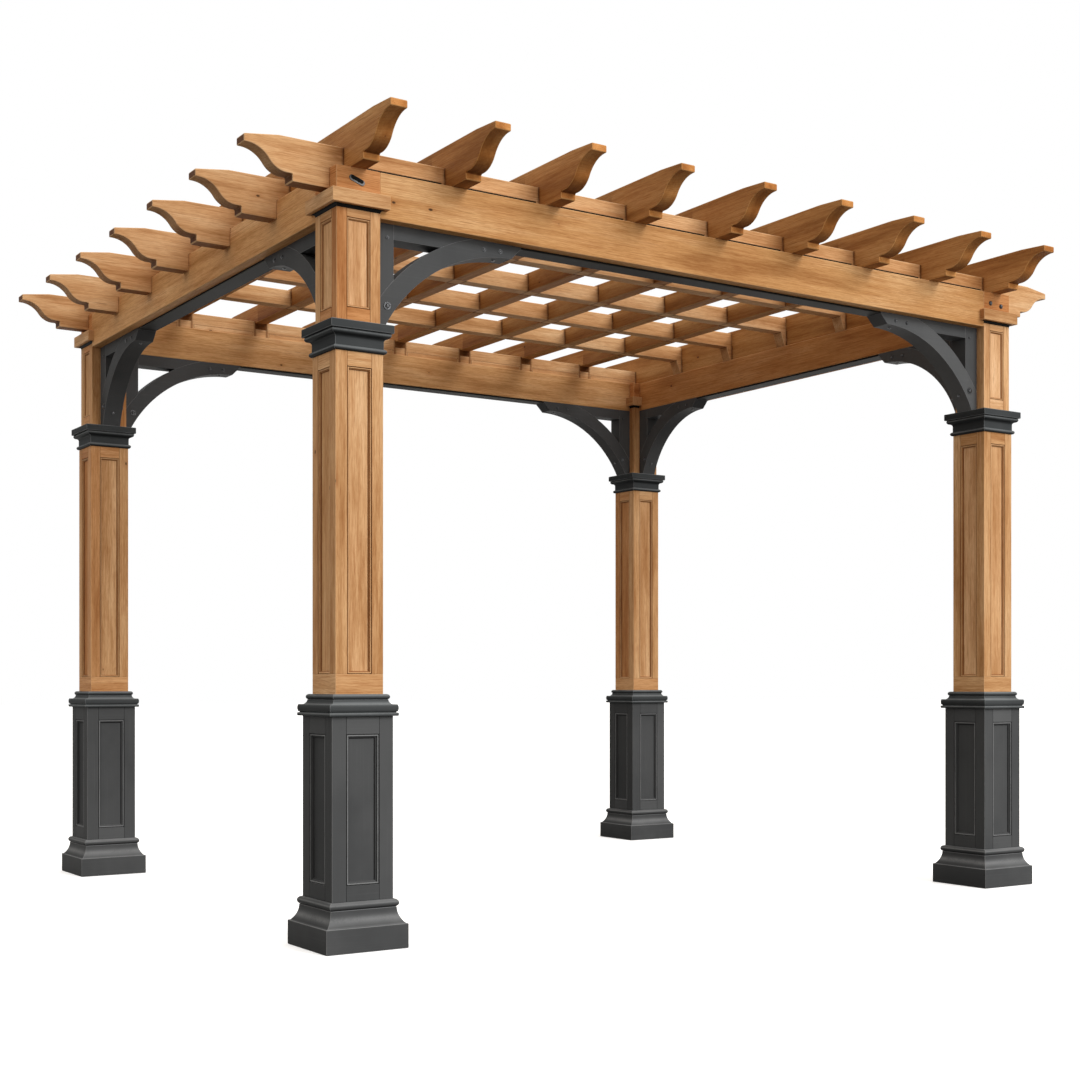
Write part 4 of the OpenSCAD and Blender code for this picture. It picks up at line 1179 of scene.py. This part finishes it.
def build_lower_rafters():
    """Lower rafters along X, notched from above.

    The first and last run straight on the beams. The others are cut away underneath, and step up to the
    lattice above the beams inside the first and last upper rafter.
    """
    low = corners("lower_rafters")[0]
    heel, inside = POST_PLACE[0] + NECK_HALF + LAP_GAP, POST_PLACE[0] + NECK_HALF - BEAM_T
    left = tail(LOWER_TOP - low[2], LOWER_TAIL, LOWER_TIP_DROP) + (low[0], LOWER_TOP)
    left = np.concatenate([left, [(-heel, low[2]), (-heel, BEAM_TOP)]])
    bays = (UPPER_PLACES[:-1] + UPPER_PLACES[1:]) / 2
    bay = UPPER_PLACES[1] - UPPER_PLACES[0] - RAFTER_T - 2 * EDGE_BEARING
    on_beam = np.concatenate([
        left, notches(bays, BEAM_TOP + EDGE_RELIEF, BEAM_TOP, BEAM_TOP, bay), mirrored(left),
        notches(UPPER_PLACES, LAP_Z, LOWER_TOP, LOWER_TOP)[::-1],
    ])
    rise = np.array([(-inside, BEAM_TOP), (-inside + LATTICE_RUN, LATTICE_Z)])
    shoulder = notches(UPPER_PLACES[:1], LAP_Z, LOWER_TOP, LATTICE_TOP)
    in_lattice = np.concatenate([
        left, rise, mirrored(rise), mirrored(left), mirrored(shoulder)[::-1],
        notches(UPPER_PLACES[1:-1], LATTICE_LAP_Z, LATTICE_TOP, LATTICE_TOP)[::-1], shoulder[::-1],
    ])
    tails = (heel, -low[0] - LOWER_TAIL, -low[0], LOWER_END_POWER)
    for i, y in enumerate(LOWER_PLACES):
        outline = on_beam if i in (0, LOWER_COUNT - 1) else in_lattice
        tone = rng.normal(LOWER_TONE, TIMBER_SCATTER)
        board = slab(outline, RAFTER_T, RAFTER_EASE, np.array([X, Z, Y]), y * Y, 0, tone, tails=tails)
        piece(f"lower_rafter_{i + 1}", [board], LIT_LOWER_CEDAR, "cedar_rafters", "lower_rafters")


def build_upper_rafters():
    """Upper rafters along Y, notched from below. All but the first and last are cut away to the lattice."""
    low, high = corners("upper_rafters")
    left = tail(high[2] - low[2], UPPER_TAIL, UPPER_TIP_DROP) + (low[1], high[2])
    on_beam = np.concatenate([left, notches(LOWER_PLACES, LAP_Z, BEAM_TOP, BEAM_TOP), mirrored(left)])
    seat = notches(LOWER_PLACES[:1], LAP_Z, BEAM_TOP, LATTICE_Z)
    in_lattice = np.concatenate([
        left, seat, notches(LOWER_PLACES[1:-1], LATTICE_LAP_Z, LATTICE_Z, LATTICE_Z), mirrored(seat),
        mirrored(left),
    ])
    tails = (POST_PLACE[1] + NECK_HALF, -low[1] - UPPER_TAIL, -low[1], UPPER_END_POWER)
    for i, x in enumerate(UPPER_PLACES):
        outline = on_beam if i in (0, UPPER_COUNT - 1) else in_lattice
        tone = rng.normal(UPPER_TONE, TIMBER_SCATTER)
        board = slab(outline, RAFTER_T, RAFTER_EASE, np.array([Y, Z, X]), x * X, 0, tone, tails=tails)
        piece(f"upper_rafter_{i + 1}", [board], SHADED_UPPER_CEDAR, "cedar_rafters", "upper_rafters")


def build_cores():
    """The timber inside each post."""
    square = rectangle((-CORE_HALF, -CORE_HALF), (CORE_HALF, CORE_HALF))
    height = CORE_HI[2] - CORE_LO[2]
    cores = [slab(square, height, BEAM_EASE, np.eye(3), post_axis(signs) + height / 2 * Z, 2)
             for signs in POSTS.values()]
    piece("cedar_cores", cores, POST_CEDAR, "cedar_posts", "post_cores")


# Stage

FLOOR_HALF, FLOOR_Z = 60.0, -0.5 * mm
# Colour of the floor as it lights the object and as it is seen, and the glow that makes it white when seen
FLOOR_LIT, FLOOR_SEEN, FLOOR_GLOW = (0.12, 0.117, 0.114), (0.92, 0.92, 0.92), 0.42
# Colour and strength of the light all round. Seen, it is white at a strength of 1
SKY, SKY_STRENGTH = (1.0, 0.962, 0.905), 0.97
KEY_ENERGY, KEY_ANGLE, KEY_TURN = 1.6, math.radians(26), (math.radians(58), 0, math.radians(24))
FILL_ENERGY, FILL_SIZE, FILL_PLACE = 150, 4.0, (1.5, -9.0, 2.4)
FILL_TURN = (math.radians(90), 0, math.radians(9))
CAMERA_LENS, CAMERA_SENSOR, CAMERA_SHIFT = 53.46, 36.0, 0.1336
CAMERA_PLACE, CAMERA_TURN = (-3.8797, -5.9881, 0.8578), (math.pi / 2, 0, -0.581)


def seen_directly(tree):
    """1 for rays from the camera, mirrored and passed on ones too, and 0 for light on the object."""
    path = add(tree, "ShaderNodeLightPath").outputs
    passed_on = calc(tree, "MAXIMUM", path["Is Glossy Ray"], path["Is Transmission Ray"])
    return calc(tree, "MAXIMUM", path["Is Camera Ray"], passed_on)


def build_stage():
    """Pale floor that looks white but keeps the shadow, white surroundings, soft light, and the camera."""
    mesh = bpy.data.meshes.new("floor")
    square = rectangle((-FLOOR_HALF, -FLOOR_HALF), (FLOOR_HALF, FLOOR_HALF))
    mesh.from_pydata(np.column_stack([square, np.full(4, FLOOR_Z)]).tolist(), [], [(0, 1, 2, 3)])
    show("floor", mesh)
    material = bpy.data.materials.new("pale_floor")
    material.use_nodes = True
    tree = material.node_tree
    seen = seen_directly(tree)
    give(tree, tree.nodes["Principled BSDF"], Base_Color=tint(tree, "MIX", seen, FLOOR_LIT, FLOOR_SEEN),
         Roughness=0.9, Specular_IOR_Level=0.0, Emission_Color=(1, 1, 1),
         Emission_Strength=calc(tree, "MULTIPLY", seen, FLOOR_GLOW))
    mesh.materials.append(material)

    world = bpy.data.worlds.new("studio")
    bpy.context.scene.world = world
    world.use_nodes = True
    tree = world.node_tree
    seen = seen_directly(tree)
    give(tree, tree.nodes["Background"], Color=tint(tree, "MIX", seen, SKY, (1, 1, 1)),
         Strength=calc(tree, "MULTIPLY_ADD", seen, 1 - SKY_STRENGTH, SKY_STRENGTH))

    key = bpy.data.lights.new("key", "SUN")
    key.energy, key.angle = KEY_ENERGY, KEY_ANGLE
    show("key", key).rotation_euler = KEY_TURN

    fill = bpy.data.lights.new("front_fill", "AREA")
    fill.energy, fill.size = FILL_ENERGY, FILL_SIZE
    panel = show("front_fill", fill)
    panel.location, panel.rotation_euler = FILL_PLACE, FILL_TURN

    view = bpy.data.cameras.new("camera")
    view.lens, view.sensor_width, view.shift_y = CAMERA_LENS, CAMERA_SENSOR, CAMERA_SHIFT
    camera = show("camera", view)
    camera.location, camera.rotation_euler = CAMERA_PLACE, CAMERA_TURN
    bpy.context.scene.camera = camera
    bpy.context.scene.view_settings.view_transform = "Standard"


build_stage()
build_cores()
for post_name, post_signs in POSTS.items():
    foot_of_axis = post_axis(post_signs)
    build_plinth(post_name, foot_of_axis)
    build_shaft(post_name, foot_of_axis)
    build_neck(post_name, post_signs, foot_of_axis)
    build_brackets(post_name, post_signs)
build_head_fasteners()
build_beams()
build_packing()
build_lower_rafters()
build_upper_rafters()
